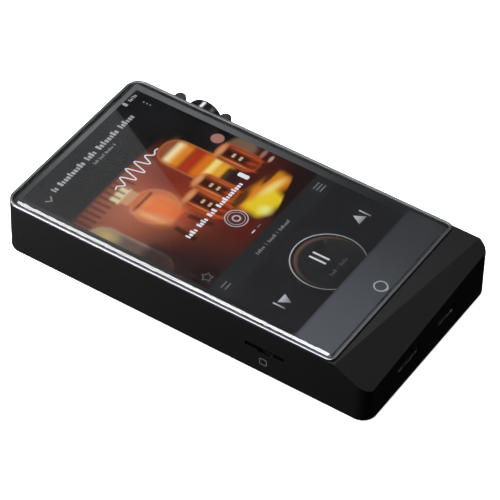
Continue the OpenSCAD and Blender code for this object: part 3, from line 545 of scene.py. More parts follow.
shell = {"cornerMm": 4.5, "ridgeMm": 1.6, "edgeMm": 0.45, "footMm": 0.75, "chinSlope": 0.53,
         "chinCant": 0.062, "chinStartMm": (-32, -48.2, 17.6), "endLean": 0.045,
         "cavityHalfMm": 28.9, "bayEndMm": -45.6, "chinEndMm": -57.2, "cavityTopMm": 57.6,
         "chinRoofMm": 10.4, "coverLedgeMm": 1.5, "coverGapMm": 0.1, "glassGapMm": 0.25,
         "glassDropMm": 0.2, "through": 30}
sockets = {"gapMm": 0.2, "flareMm": 0.35, "usbRadiusMm": 1.57, "linkCutMm": 1.2}
cardSlot = {"middleMm": -27.05, "lengthMm": 12.7, "lowMm": 8.2, "heightMm": 1.7, "endMm": 0.5,
            "notchMm": 4.9, "notchDeepMm": 1.1, "notchDipMm": 0.6, "notchRoundMm": 1.1}
sideHoles = {"keyMm": 2.6, "easeMm": 0.25, "neckMm": 2.6, "insideMm": 28}
keyNodes = ["forward_button", "play_button", "back_button"]


def sliceOff(bm, pointMm, normal):
    # takes away what lies in front of a plane and closes the cut
    cut = bmesh.ops.bisect_plane(bm, geom=bm.verts[:] + bm.edges[:] + bm.faces[:], dist=1e-8,
                                 plane_co=Vector(pointMm) * mm, plane_no=Vector(normal),
                                 clear_outer=True)
    border = [g for g in cut["geom_cut"] if isinstance(g, bmesh.types.BMEdge)]
    bmesh.ops.holes_fill(bm, edges=border, sides=0)


def mouthCutters(node, radii, wallY):
    # a straight hole for a socket in the charging end wall, and the chamfer round its mouth
    low, high = boxMm(node)
    gap, flare = sockets["gapMm"], sockets["flareMm"]
    hole = slabPart((low.x - gap, low.z - gap, -wallY - 6), (high.x + gap, high.z + gap, 2 - wallY),
                    radii, 8, turn=alongY)
    wide = gap + flare
    chamfer = bmesh.new()
    addSlab(chamfer, (low.x - wide, low.z - wide, -wallY - flare),
            (high.x + wide, high.z + wide, 2 - wallY), [r + flare for r in radii], 8)
    inner = sharpEdges(chamfer, 60, lambda e: middleOf(e).z < -wallY * mm)
    bevelEdges(chamfer, inner, flare * 0.98 * mm, 1)
    chamfer.transform(alongY)
    bmesh.ops.recalc_face_normals(chamfer, faces=chamfer.faces)
    return [hole, chamfer]


def buildShell():
    low, high = boxMm("housing")
    bm = bmesh.new()
    addSlab(bm, low, high, (shell["cornerMm"], shell["cornerMm"]), 12)
    sliceOff(bm, shell["chinStartMm"],
             Vector((-shell["chinCant"], -shell["chinSlope"], 1)).normalized())
    sliceOff(bm, (0, low.y, 0), (0, -1, shell["endLean"]))
    bmesh.ops.recalc_face_normals(bm, faces=bm.faces)
    ridge = sharpEdges(bm, 20, lambda e: min(f.normal.z for f in e.link_faces) > 0.5)
    bevelEdges(bm, ridge, shell["ridgeMm"] * mm, 8)
    foot = sharpEdges(bm, 25, lambda e: middleOf(e).z < 0.1 * mm)
    bevelEdges(bm, foot, shell["footMm"] * mm, 4)
    brow = sharpEdges(bm, 25, lambda e: middleOf(e).z > 5 * mm)
    bevelEdges(bm, brow, shell["edgeMm"] * mm, 4)
    piece = makeObject(bm, "bodyShell", finishes["black_anodised"])

    halfIn, through = shell["cavityHalfMm"], shell["through"]
    coverLow, coverHigh = boxMm("rear_cover")
    glassLow, glassHigh = boxMm("cover_glass")
    plateLow, plateHigh = boxMm("end_plate")
    coverGap, glassGap = shell["coverGapMm"], shell["glassGapMm"]
    cutters = [
        slabPart((-halfIn, shell["bayEndMm"], -1), (halfIn, shell["cavityTopMm"], through)),
        slabPart((-halfIn, shell["chinEndMm"], -1), (halfIn, shell["bayEndMm"] + 1,
                                                     shell["chinRoofMm"])),
        slabPart((coverLow.x - coverGap, coverLow.y - coverGap, -1),
                 (coverHigh.x + coverGap, coverHigh.y + coverGap, shell["coverLedgeMm"]), (2, 2)),
        slabPart((glassLow.x - glassGap, glassLow.y - glassGap, glassLow.z - shell["glassDropMm"]),
                 (glassHigh.x + glassGap, glassHigh.y + glassGap, through), (1.2, 3.3)),
        slabPart((plateLow.x, plateLow.z, -high.y - 5), (plateHigh.x, plateHigh.z, -plateLow.y),
                 (2, 2), turn=alongY),
    ]
    for node, radii in (("usb_socket", (sockets["usbRadiusMm"],) * 2),
                        ("link_socket", (sockets["linkCutMm"], 0.4))):
        socketLow, socketHigh = boxMm(node)
        wallY = low.y + shell["endLean"] * (socketLow.z + socketHigh.z) / 2
        cutters += mouthCutters(node, radii, wallY)
    slotLow, slotHigh = cardSlot["lowMm"], cardSlot["lowMm"] + cardSlot["heightMm"]
    slotHalf = cardSlot["lengthMm"] / 2
    cutters.append(slabPart((cardSlot["middleMm"] - slotHalf, slotLow, low.x - 2),
                            (cardSlot["middleMm"] + slotHalf, slotHigh, 0.2 - halfIn),
                            (cardSlot["endMm"],) * 2, 4, turn=alongX))
    notchHalf = cardSlot["notchMm"] / 2
    cutters.append(slabPart((cardSlot["middleMm"] - notchHalf, slotLow - cardSlot["notchDipMm"],
                             low.x - 1),
                            (cardSlot["middleMm"] + notchHalf, slotHigh - 0.1,
                             low.x + cardSlot["notchDeepMm"]),
                            (cardSlot["notchRoundMm"], 0.2), 6, turn=alongX))
    for node in keyNodes:
        _, y, z = centreMm(node)
        r, ease, face = sideHoles["keyMm"], sideHoles["easeMm"], high.x
        cutters.append(turnedPart([(0, sideHoles["insideMm"]), (r, sideHoles["insideMm"]),
                                   (r, face - ease), (r + ease, face), (r + ease, face + 1),
                                   (0, face + 1)], alongX, (0, y, z)))
    _, y, z = centreMm("knob_shaft")
    neck, inside = sideHoles["neckMm"], sideHoles["insideMm"]
    cutters.append(turnedPart([(0, inside), (neck, inside), (neck, high.x + 1), (0, high.x + 1)],
                              alongX, (0, y, z)))
    for node in ("phones_jack", "line_jack", "balanced_jack"):
        r = jackR[node][1] + 0.02
        cutters.append(turnedPart([(0, -59.5), (r, -59.5), (r, -57), (0, -57)], alongY,
                                  (centreMm(node)[0], 0, jackZ)))
    cutAway(piece, cutters)
    settlePiece(piece, replaces=["housing"])
    print("body shell:", len(piece.data.polygons), "faces")


# bore and collar radius of each socket in the headphone end
jackR = {"phones_jack": (1.8, 3.0), "line_jack": (1.8, 3.0), "balanced_jack": (2.25, 3.6)}
jackZ = 9.5
buildShell()

rim = {"radiiMm": (2.15, 4.5), "widthMm": 0.95, "outerMm": 0.3, "innerMm": 0.12}


def buildRim():
    low, high = boxMm("rim")
    bm = bmesh.new()
    addSlab(bm, low, high, rim["radiiMm"], 12)
    caps = [f for f in bm.faces if abs(f.normal.z) > 0.9]
    bmesh.ops.inset_region(bm, faces=caps, thickness=rim["widthMm"] * mm, use_even_offset=True)
    bmesh.ops.delete(bm, geom=caps, context="FACES")
    bmesh.ops.bridge_loops(bm, edges=[e for e in bm.edges if e.is_boundary])
    bmesh.ops.recalc_face_normals(bm, faces=bm.faces)
    half = rim["widthMm"] / 2 * mm

    def isInner(edge):
        spot = middleOf(edge)
        return (abs(spot.x) < high.x * mm - half
                and low.y * mm + half < spot.y < high.y * mm - half)

    top = (low.z + high.z) / 2 * mm
    bevelEdges(bm, sharpEdges(bm, 60, lambda e: not isInner(e) and middleOf(e).z > top),
               rim["outerMm"] * mm, 4)
    bevelEdges(bm, sharpEdges(bm, 60, isInner), rim["innerMm"] * mm, 2)
    settlePiece(makeObject(bm, "glassRim", finishes["grey_anodised"]),
                replaces=["rim"])


buildRim()

glass = {"radiiMm": (1.2, 3.3), "shoulderMm": 1.05, "dropMm": 0.3, "shoulderSoftMm": 0.4,
         "edgeMm": 0.2, "edgeSteps": 6, "lowEdgeMm": 0.06}


def buildGlass():
    low, high = boxMm("cover_glass")
    bm = bmesh.new()
    addSlab(bm, low, high, glass["radiiMm"], 12)
    top = (low.z + high.z) / 2 * mm
    face = [f for f in bm.faces if f.normal.z > 0.9]
    bmesh.ops.inset_region(bm, faces=face, thickness=glass["shoulderMm"] * mm,
                           use_even_offset=True)
    flat = {v for f in face for v in f.verts}
    for vert in bm.verts:    # the outer loop drops, which leaves a shallow shoulder all round
        if vert.co.z > top and vert not in flat:
            vert.co.z -= glass["dropMm"] * mm
    bm.normal_update()
    crease = [e for e in bm.edges if all(v in flat for v in e.verts)]
    bevelEdges(bm, crease, glass["shoulderSoftMm"] * mm, glass["edgeSteps"])
    bevelEdges(bm, sharpEdges(bm, 50, lambda e: middleOf(e).z > top), glass["edgeMm"] * mm,
               glass["edgeSteps"])
    bevelEdges(bm, sharpEdges(bm, 60), glass["lowEdgeMm"] * mm, 1)
    settlePiece(makeObject(bm, "coverGlassPane", finishes["cover_glass"]),
                replaces=["cover_glass"], sharpAngle=50)


buildGlass()
print("rim and glass made")

plate = {"cornerMm": 2, "easeMm": 0.2, "screwR": 1.0, "screwHeadR": 1.3, "headDeepMm": 0.8,
         "screwX": 24.2, "seatY": 59.7, "shankMm": 1.8}
cover = {"cornerMm": 2, "easeMm": 0.3, "headR": 1.55, "headDeepMm": 0.9, "shankR": 0.85,
         "shankMm": 3.2}
ringSize = {"outsideMm": 0.15, "insideMm": 0.2, "roundMm": 0.05}
screwSize = {"easeMm": 0.12, "driveR": 0.75, "driveDeepMm": 0.35}


def buildEndPlate():
    low, high = boxMm("end_plate")
    face = high.y
    bm = slabPart((low.x + 0.03, low.z + 0.03, -face), (high.x - 0.03, high.z - 0.03, -low.y),
                  (plate["cornerMm"],) * 2, 8, plate["easeMm"], 3, alongY)
    piece = makeObject(bm, "socketPlate", finishes["black_anodised"])
    cutters = []
    for node, (_, collar) in jackR.items():
        cutters.append(turnedPart([(0, -face - 1), (collar + 0.25, -face - 1),
                                   (collar + 0.25, -face), (collar + 0.02, 0.25 - face),
                                   (collar + 0.02, -50), (0, -50)], alongY,
                                  (centreMm(node)[0], 0, jackZ)))
    screwLow, screwHigh = boxMm("plate_screws")
    offset = screwHigh.x - plate["screwHeadR"]
    headZ = (screwLow.z + screwHigh.z) / 2
    for side in (-1, 1):
        cutters.append(turnedPart([(0, -face - 1), (plate["screwHeadR"] + 0.2, -face - 1),
                                   (plate["screwHeadR"] + 0.2, -face),
                                   (plate["screwHeadR"] + 0.02, 0.2 - face),
                                   (plate["screwHeadR"] + 0.02, plate["headDeepMm"] - face),
                                   (plate["screwR"], plate["headDeepMm"] - face),
                                   (plate["screwR"], -50), (0, -50)], alongY,
                                  (side * offset, 0, headZ)))
    cutAway(piece, cutters)
    settlePiece(piece, replaces=["end_plate"])

    rings = []
    ringLow, ringHigh = boxMm("socket_rings")
    for node, (bore, collar) in jackR.items():
        inner, outer = bore + ringSize["insideMm"], collar - ringSize["outsideMm"]
        round_ = ringSize["roundMm"]
        rings.append(turnedPart([(inner, -ringLow.y), (inner, round_ - ringHigh.y),
                                 (inner + round_, -ringHigh.y), (outer - round_, -ringHigh.y),
                                 (outer, round_ - ringHigh.y), (outer, -ringLow.y)], alongY,
                                (centreMm(node)[0], 0, jackZ), 64))
    settlePiece(makeObject(joinParts(rings), "socketRings", finishes[nodeSlot["socket_rings"]]),
                replaces=["socket_rings"])


def screwPart(headR, headH, shankR, shankL):
    # head up the z axis from 0, with eased edge and a six sided drive; shank below it
    ease = screwSize["easeMm"]
    return turnedPart([(0, -shankL), (shankR, -shankL), (shankR, 0), (headR, 0),
                       (headR, headH - ease), (headR - ease * 0.3, headH - ease * 0.3),
                       (headR - ease, headH), (0, headH)], steps=36)


def buildScrews(name, node, headR, headH, shankR, spots, turn):
    # spots are where the head's seat is, with the length of the shank below it
    bodies, drives = [], []
    for spot, shankL in spots:
        bm = screwPart(headR, headH, shankR, shankL)
        bm.transform(Matrix.Translation(Vector(spot) * mm) @ turn)
        bodies.append(bm)
        drive = bmesh.new()
        addTurned(drive, [(0, headH - screwSize["driveDeepMm"]),
                          (screwSize["driveR"], headH - screwSize["driveDeepMm"]),
                          (screwSize["driveR"], headH + 1), (0, headH + 1)], 6)
        drive.transform(Matrix.Translation(Vector(spot) * mm) @ turn)
        drives.append(drive)
    piece = makeObject(joinParts(bodies), name, finishes[nodeSlot[node]])
    cutAway(piece, drives)
    settlePiece(piece, replaces=[node])


buildEndPlate()
outward = Matrix.Rotation(math.radians(-90), 4, "X")    # z axis to +y
downward = Matrix.Rotation(math.pi, 4, "X")             # z axis to -z
plateSpots = [((side * plate["screwX"], plate["seatY"], jackZ), plate["shankMm"])
              for side in (-1, 1)]
buildScrews("plateScrews", "plate_screws", plate["screwHeadR"], 0.6, 0.9, plateSpots, outward)
coverSpots = [(x, y) for x in (-26.4, 26.4) for y in (-55, -15.4, 55)]
buildScrews("coverScrews", "cover_screws", 1.5, 0.7, 0.8,
            [((x, y, cover["headDeepMm"]), cover["shankMm"]) for x, y in coverSpots], downward)


def buildRearCover():
    low, high = boxMm("rear_cover")
    bm = bmesh.new()
    addSlab(bm, low, high, (cover["cornerMm"],) * 2, 8)
    bevelEdges(bm, sharpEdges(bm, 60, lambda e: middleOf(e).z < 0.5 * mm), cover["easeMm"] * mm, 3)
    piece = makeObject(bm, "rearCover", finishes["black_anodised"])
    cutters = [turnedPart([(0, -1), (cover["headR"] + 0.2, -1), (cover["headR"] + 0.2, 0),
                           (cover["headR"], 0.2), (cover["headR"], cover["headDeepMm"]),
                           (cover["shankR"], cover["headDeepMm"]), (cover["shankR"], 3), (0, 3)],
                          move=(x, y, 0)) for x, y in coverSpots]
    cutAway(piece, cutters)
    settlePiece(piece, replaces=["rear_cover"])


buildRearCover()
print("end plate, rear cover and screws made")

plug = {"wallMm": 0.3, "easeMm": 0.1, "tongueWide": 0.75, "tongueThickMm": 0.75,
        "tongueBackMm": 0.9, "contacts": 6, "contactMm": 0.28}


def buildSocket(name, node, radii):
    # a drawn steel shell open at the mouth, with a moulded tongue and its contacts inside
    low, high = boxMm(node)
    mouth = -low.y
    bm = bmesh.new()
    addSlab(bm, (low.x, low.z, -high.y), (high.x, high.z, mouth), radii, 8)
    front = [f for f in bm.faces if f.normal.z > 0.9]
    bmesh.ops.inset_region(bm, faces=front, thickness=plug["wallMm"] * mm, use_even_offset=True)
    pushed = bmesh.ops.extrude_face_region(bm, geom=front)["geom"]
    bmesh.ops.delete(bm, geom=front, context="FACES_ONLY")
    moved = [v for v in pushed if isinstance(v, bmesh.types.BMVert)]
    bmesh.ops.translate(bm, vec=(0, 0, -(high.y - low.y - 0.6) * mm), verts=moved)
    bmesh.ops.recalc_face_normals(bm, faces=bm.faces)
    lip = sharpEdges(bm, 60, lambda e: middleOf(e).z > (mouth - 0.01) * mm)
    bevelEdges(bm, lip, plug["easeMm"] * mm, 2)
    bm.transform(alongY)
    settlePiece(makeObject(bm, name + "Shell", finishes["socket_steel"]),
                replaces=[node])
    midX, midZ = (low.x + high.x) / 2, (low.z + high.z) / 2
    halfWide = (high.x - low.x) / 2 * plug["tongueWide"]
    halfThick = plug["tongueThickMm"] / 2
    tongue = slabPart((midX - halfWide, midZ - halfThick, -high.y + 0.5),
                      (midX + halfWide, midZ + halfThick, mouth - plug["tongueBackMm"]),
                      (0.2, 0.2), 3, 0.08, 2, alongY)
    settlePiece(makeObject(tongue, name + "Tongue", finishes["black_plastic"]))
    pitch = 2 * halfWide / (plug["contacts"] + 0.5)
    blades = []
    for number in range(plug["contacts"]):
        x = midX + (number - (plug["contacts"] - 1) / 2) * pitch
        for side in (-1, 1):
            edge = midZ + side * halfThick
            blades.append(slabPart((x - plug["contactMm"] / 2, edge - 0.05, -high.y + 1),
                                   (x + plug["contactMm"] / 2, edge + 0.05, mouth - 1.3),
                                   bevel=0.02, bevelSteps=1, turn=alongY))
    settlePiece(makeObject(joinParts(blades), name + "Contacts", finishes["gold_plate"]))


buildSocket("usbSocket", "usb_socket", (sockets["usbRadiusMm"],) * 2)
buildSocket("linkSocket", "link_socket", (sockets["linkCutMm"], 0.4))
print("charging end sockets made")

knob = {"roundMm": 1.6, "recessMm": 1.3, "steps": 96, "capEaseMm": 0.15,
        "hollowR": 4.3, "shaftR": 2.0}
guard = {"noseSteps": 10, "easeMm": 0.45, "wideMm": 3.5, "rootX": 31, "wallX": 31.5, "noseX": 33}
key = {"radiusMm": 2.5, "easeMm": 0.3, "dishMm": 0.12, "flangeMm": 0.5, "rimMm": 0.6}


def buildKnob():
    low, high = boxMm("volume_knob")
    capLow, capHigh = boxMm("knob_cap")
    y, z = (low.y + high.y) / 2, (low.z + high.z) / 2
    r, arc = high.z - z, knob["roundMm"]
    capR = capHigh.z - z
    dome = [(r - arc + arc * math.cos(a), high.x - arc + arc * math.sin(a))
            for a in (math.radians(step * 9) for step in range(11))]
    hollow, shaft = knob["hollowR"], knob["shaftR"]
    profile = [(shaft, low.x + knob["recessMm"]), (hollow, low.x + knob["recessMm"]),
               (hollow, low.x),
               (r - 0.3, low.x), (r, low.x + 0.3)] + dome + [
               (capR + 0.12, high.x), (capR + 0.02, high.x - 0.1), (capR + 0.02, capLow.x),
               (shaft, capLow.x)]
    settlePiece(makeObject(turnedPart(profile, alongX, (0, y, z), knob["steps"]), "knobGrip",
                           finishes["polished_black"]), "knob", ["volume_knob"])
    ease = knob["capEaseMm"]
    disc = [(0, capLow.x), (capR, capLow.x), (capR, capHigh.x - ease),
            (capR - ease * 0.3, capHigh.x - ease * 0.3), (capR - ease, capHigh.x),
            (capR * 0.6, capHigh.x - 0.05), (0, capHigh.x - 0.12)]
    settlePiece(makeObject(turnedPart(disc, alongX, (0, y, z), knob["steps"]), "knobInlay",
                           finishes[nodeSlot["knob_cap"]]), "knob",
                ["knob_cap"])


def buildGuards():
    low, high = boxMm("knob_guards")
    wide = guard["wideMm"]
    bars = []
    for y in (low.y + wide / 2, high.y - wide / 2):
        bm = bmesh.new()
        addSlab(bm, (guard["rootX"], y - wide / 2, low.z), (high.x, y + wide / 2, high.z))
        nose = [e for e in bm.edges if abs(e.verts[0].co.z - e.verts[1].co.z) > 1 * mm
                and middleOf(e).x > guard["noseX"] * mm]
        bevelEdges(bm, nose, (wide / 2 - 0.01) * mm, guard["noseSteps"])
        bevelEdges(bm, sharpEdges(bm, 60, lambda e: middleOf(e).x > guard["wallX"] * mm),
                   guard["easeMm"] * mm, 4)
        bars.append(bm)
    settlePiece(makeObject(joinParts(bars), "guardBars", finishes["black_anodised"]),
                replaces=["knob_guards"])


def buildKeys():
    for node, name, body in (("forward_button", "forwardKey", "forward_key"),
                             ("play_button", "playKey", "play_key"),
                             ("back_button", "backKey", "back_key")):
        low, high = boxMm(node)
        y, z = (low.y + high.y) / 2, (low.z + high.z) / 2
        r, ease, face = key["radiusMm"], key["easeMm"], high.x
        flange = high.z - z
        profile = [(0, low.x), (flange, low.x), (flange, low.x + key["flangeMm"]),
                   (r, low.x + key["flangeMm"]), (r, face - ease),
                   (r - ease * 0.3, face - ease * 0.3), (r - ease, face),
                   (r - key["rimMm"], face - key["dishMm"] * 0.4), (0, face - key["dishMm"])]
        settlePiece(makeObject(turnedPart(profile, alongX, (0, y, z), 48), name,
                               finishes["black_anodised"]), body, [node])


def lightKnob():
    # the knob's own softbox lights the knob, its inlay and the bars, and nothing else
    lit = bpy.data.collections.new("litByKnobCard")
    for name in ("knobGrip", "knobInlay", "guardBars"):
        lit.objects.link(bpy.data.objects[name])
    bpy.data.objects["knobCard"].light_linking.receiver_collection = lit


buildKnob()
buildGuards()
buildKeys()
lightKnob()
print("knob, guards and keys made")

picture = {"lowMm": (-27.88, -34.38), "highMm": (27.88, 56.98), "bottomMm": 16.752, "topMm": 16.79,
           "splitsX": (-4.5, 10.5), "splitsY": (-5.6, 9.0, 24.0)}

# The lit picture is painted from soft shapes, back to front, all in mm on the display.
# blob: x, y, half width, half height, turn in degrees, softness, colour, strength
# slab: the same, and then how round its corners are


def paintShape(tree, place, below, kind, x, y, halfX, halfY, turn, soft, colour, strength,
               roundness=0.0, blend="MIX"):
    # returns the colour socket with one more soft shape over what is below
    spin = (0, 0, math.radians(turn))
    if kind == "blob":
        spot = addNode(tree, "Mapping", {"vector_type": "TEXTURE"},
                       {"Vector": place, "Location": (x * mm, y * mm, 0), "Rotation": spin,
                        "Scale": (halfX * mm, halfY * mm, 1000)})
        reach = addNode(tree, "VectorMath", {"operation": "LENGTH"}, {0: spot})
        edge = (1 + soft, max(1 - soft, 0))
    else:
        spot = addNode(tree, "Mapping", {"vector_type": "TEXTURE"},
                       {"Vector": place, "Location": (x * mm, y * mm, 0), "Rotation": spin,
                        "Scale": (mm, mm, 1000)})
        folded = addNode(tree, "VectorMath", {"operation": "ABSOLUTE"}, {0: spot})
        past = addNode(tree, "VectorMath", {"operation": "SUBTRACT"},
                       {0: folded, 1: (halfX - roundness, halfY - roundness, 0)})
        outside = addNode(tree, "VectorMath", {"operation": "MAXIMUM"}, {0: past, 1: (0, 0, 0)})
        reach = addNode(tree, "VectorMath", {"operation": "LENGTH"}, {0: outside})
        edge = (roundness + soft, max(roundness - soft, 0))
    cover = addNode(tree, "MapRange", {"interpolation_type": "SMOOTHSTEP"},
                    {"Value": reach, "From Min": edge[1], "From Max": edge[0], "To Min": strength,
                     "To Max": 0})
    mix = addNode(tree, "Mix", {"data_type": "RGBA", "blend_type": blend},
                  {"Factor": cover, "A": below, "B": linear(colour)})
    return next(s for s in mix.outputs if s.enabled)


def bulbShapes(x, top, bottom, half, warm):
    # one small glass bulb on the picture's bench: body, hot top, dark core and bright specks
    mid, tall = (top + bottom) / 2, (top - bottom) / 2
    shapes = [("slab", x, mid, half, tall, 0, 0.5, warm, 0.95, half * 0.9),
              ("slab", x, mid, half * 0.78, tall * 0.93, 0, 0.7, "#4a1206", 0.75, half * 0.7),
              ("blob", x, top - half * 0.35, half * 0.75, 0.9, 0, 0.8, "#ffb070", 0.75),
              ("slab", x, mid + 0.5, half * 0.36, tall * 0.55, 0, 0.5, "#1c0503", 0.85, 0.4),
              ("blob", x - half * 0.62, mid, 0.35, tall * 0.7, 0, 0.9, "#ff9448", 0.7),
              ("blob", x + half * 0.66, mid - 1, 0.3, tall * 0.6, 0, 0.9, "#e87030", 0.6)]
    for step in range(2):
        for side in (-0.35, 0.5):
            shapes.append(("blob", x + side, mid + 1.5 - step * 2.4, 0.42, 0.42, 0, 0.7, "#ffd0a0",
                           0.9))
    for step in range(3):
        shapes.append(("blob", x + (step - 1) * half * 0.6, bottom + 1.5 + step % 2, 0.5, 1.6, 12,
                       0.9, "#c84a18", 0.7))
    return shapes


paintings = [
    # warm haze behind everything
    ("blob", -15, 22, 24, 20, 0, 0.9, "#7c3a28", 0.95),
    ("blob", -10, 29, 14, 11, 0, 0.9, "#c06a48", 0.75),
    ("blob", -3, 22, 9, 12, 0, 0.9, "#a23a18", 0.7),
    ("blob", 3, 27, 5, 9, 10, 0.9, "#7a1c08", 0.8),
    ("blob", -26, 2, 12, 14, 0, 0.9, "#120809", 0.9),
    ("slab", 22, 30, 6, 14, 0, 3.0, "#020101", 1.0, 1.0),
    ("slab", 0, 51, 40, 10.5, 0, 1.6, "#030303", 1.0, 0.3),
    ("blob", 18, 10, 12, 9, 0, 0.8, "#4a1005", 0.8),
    ("blob", -2, 0, 8, 6, 0, 0.9, "#5c160a", 0.85),
    # half seen round topped tube at the left
    ("slab", -29.5, 20, 6.2, 14, 0, 0.5, "#a08474", 0.9, 5.8),
    ("slab", -30, 19.5, 5.9, 13.5, 0, 0.9, "#5a463e", 0.85, 5.4),
    ("blob", -26.6, 29, 2.4, 3.4, 0, 0.9, "#c9b070", 0.8),
    ("slab", -29, 9, 6.6, 7, 0, 3.0, "#2c1c1a", 0.8, 1),
    # round bulb with its cap and hot wires
    ("blob", -9.3, 24.5, 7.0, 7.2, 0, 0.07, "#d28a60", 0.8),
    ("blob", -9.3, 24.5, 6.6, 6.8, 0, 0.12, "#c0502a", 0.85),
    ("blob", -9.3, 23, 4.8, 5.8, 0, 0.8, "#ff9a50", 0.95),
    ("slab", -11, 35.2, 3.6, 1.5, 0, 0.7, "#f0dcae", 0.9, 0.6),
    ("slab", -10.6, 32.4, 3.0, 1.3, 0, 0.6, "#d8a878", 0.75, 0.5),
    ("slab", -9.8, 28.6, 4.6, 0.45, 0, 0.3, "#6a2c18", 0.8, 0.2),
    ("blob", -12.6, 21.5, 1.5, 6, 14, 0.8, "#ffc890", 0.6),
    ("slab", -9.2, 20, 3.6, 6.5, 0, 1.0, "#e8622c", 0.55, 1.0),
    ("slab", -9.6, 13, 3.8, 3.6, 0, 1.0, "#8a3c26", 0.7, 1.0),
    ("slab", -13.4, 11.5, 0.7, 3.6, -6, 0.6, "#241010", 0.75, 0.3),
    ("slab", -6.6, 11.0, 0.7, 3.8, 6, 0.6, "#2a100c", 0.7, 0.3),
    # tall tube on the right of the middle
    ("slab", 12.1, 26.3, 5.75, 11.0, 0, 0.35, "#c8703a", 0.95, 5.2),
    ("slab", 12.1, 26.2, 5.25, 10.6, 0, 0.5, "#8c2c0a", 0.95, 4.8),
    ("blob", 12.1, 35.3, 4.2, 1.5, 0, 0.8, "#9c5834", 0.8),
    ("slab", 12.1, 32.6, 4.4, 1.1, 0, 1.3, "#fff0b4", 1.0, 0.8),
    ("slab", 12.1, 30.5, 4.6, 1.4, 0, 1.5, "#ff9c20", 0.75, 0.8),
    ("slab", 12.1, 26.4, 4.4, 1.6, 0, 1.2, "#b8300a", 0.9, 0.6),
    ("slab", 12.1, 22.2, 4.7, 2.0, 0, 1.6, "#f07c10", 0.9, 0.8),
    ("slab", 12.1, 20.2, 4.9, 0.9, 0, 1.1, "#fff08a", 1.0, 0.6),
    ("blob", 12.3, 17.6, 7.5, 2.2, 0, 0.8, "#ffb830", 0.85),
    ("slab", 12.5, 14.0, 3.0, 2.2, 0, 0.9, "#1e0805", 0.9, 0.4),
    # out of focus lights at the right
    ("blob", 25.5, 18, 3.4, 4.2, 0, 0.25, "#8a6a52", 0.75),
    ("blob", 24.0, 26.0, 2.0, 2.0, 0, 0.12, "#bc8272", 0.85),
    ("blob", 26, 11.5, 2.2, 0.6, 0, 0.8, "#d0907a", 0.6),
    # bright bench top and the shadows that cross it
    ("slab", 13, 3.2, 9.5, 3.2, -14, 1.6, "#e88a12", 0.95, 1.5),
    ("slab", 9.5, 0.2, 5.5, 3.4, -18, 1.6, "#f6d522", 0.95, 1.5),
    ("blob", 7.0, -1.4, 1.8, 1.8, 0, 0.8, "#ffff90", 0.7),
    ("blob", 16, 2.0, 4.5, 1.2, -14, 0.8, "#fff28a", 0.7),
    ("slab", 16, -7.2, 20, 4.6, 15, 0.5, "#1a0503", 1.0, 0.3),
    ("blob", 20.5, 5.0, 5.2, 0.85, 0, 0.35, "#3a1004", 0.9),
    ("blob", 7.0, 6.8, 4.6, 1.5, 0, 0.5, "#3c0f05", 0.9),
    ("blob", 25.5, 8.6, 1.3, 0.5, 0, 0.6, "#e8b8a0", 0.8),
]
paintings += bulbShapes(0.0, 20.6, 6.0, 4.2, "#b8481c")
paintings += bulbShapes(6.8, 22.2, 8.0, 3.8, "#c85a20")
paintings += bulbShapes(20.6, 23.8, 9.5, 3.9, "#b04a24")
for stripe in range(10):     # faint upright slots above the bulbs
    paintings.append(("slab", -26.5 + stripe * 2.35, 37.0, 0.35, 2.6, 0, 0.45, "#150908", 0.6, 0.2))
paintings += [
    # the controls under the picture, and the dial with its warm upper edge
    ("slab", 0, -32, 40, 26.4, 0, 0.06, "#1d1d1e", 1.0, 0.05),
    ("slab", 0, -8.8, 40, 3.2, 0, 0.08, "#232324", 1.0, 0.05),
    ("blob", 0, -27, 13.0, 13.0, 0, 0.06, "#17171b", 0.75),
    ("blob", 0, -24.4, 12.2, 12.2, 0, 0.1, "#232325", 0.8),
    ("blob", 0, -27, 10.85, 10.85, 0, 0.02, "#101012", 1.0),
    ("blob", 0, -27, 10.6, 10.6, 0, 0.03, "#1a1a1b", 1.0),
    ("blob", 0, -27.2, 9.9, 9.9, 0, 0.04, "#6a5240", 0.9),
    ("blob", 0, -28.0, 9.9, 9.7, 0, 0.08, "#232323", 1.0),
    ("blob", 0, -36, 12, 6, 0, 0.8, "#171717", 0.7),
]


def touches(shape, low, high):
    # whether a painted shape reaches into the tile between two corners
    kind, x, y, halfX, halfY, _, soft = shape[:7]
    reach = math.hypot(halfX, halfY) * (1 + soft if kind == "blob" else 1) + soft
    aside = max(low[0] - x, x - high[0], 0)
    above = max(low[1] - y, y - high[1], 0)
    return math.hypot(aside, above) < reach


def litPicture(name, shapes):
    # pixels lit from behind: the picture glows by itself and nothing of it is glossy
    material, tree, shader, place = startMaterial(name)
    base = addNode(tree, "TexNoise", None, {"Vector": place, "Scale": 90, "Detail": 4})
    colour = addNode(tree, "Mix", rgba, {"Factor": base, "A": linear("#030203"),
                                         "B": linear("#0a0605")})
    for kind, *shape in shapes:
        colour = paintShape(tree, place, colour, kind, *shape)
    setInputs(tree, shader, {"Base Color": linear("#000000"), "Roughness": 0.6,
                             "Specular IOR Level": 0.1, "Emission Color": colour,
                             "Emission Strength": 1.0})
    return material


def buildPicture():
    # the picture is laid in tiles, so that each holds only the shapes that reach it
    low, high = picture["lowMm"], picture["highMm"]
    columns = [low[0], *picture["splitsX"], high[0]]
    rows = [low[1], *picture["splitsY"], high[1]]
    for column in range(len(columns) - 1):
        for row in range(len(rows) - 1):
            corner = (columns[column], rows[row])
            far = (columns[column + 1], rows[row + 1])
            shapes = [shape for shape in paintings if touches(shape, corner, far)]
            tile = f"{column + 1}{row + 1}"
            screen = slabPart((*corner, picture["bottomMm"]), (*far, picture["topMm"]))
            settlePiece(makeObject(screen, "screenPicture" + tile,
                                   litPicture("lit display picture " + tile, shapes)))
            print("picture tile", tile, "painted with", len(shapes), "shapes")


buildPicture()

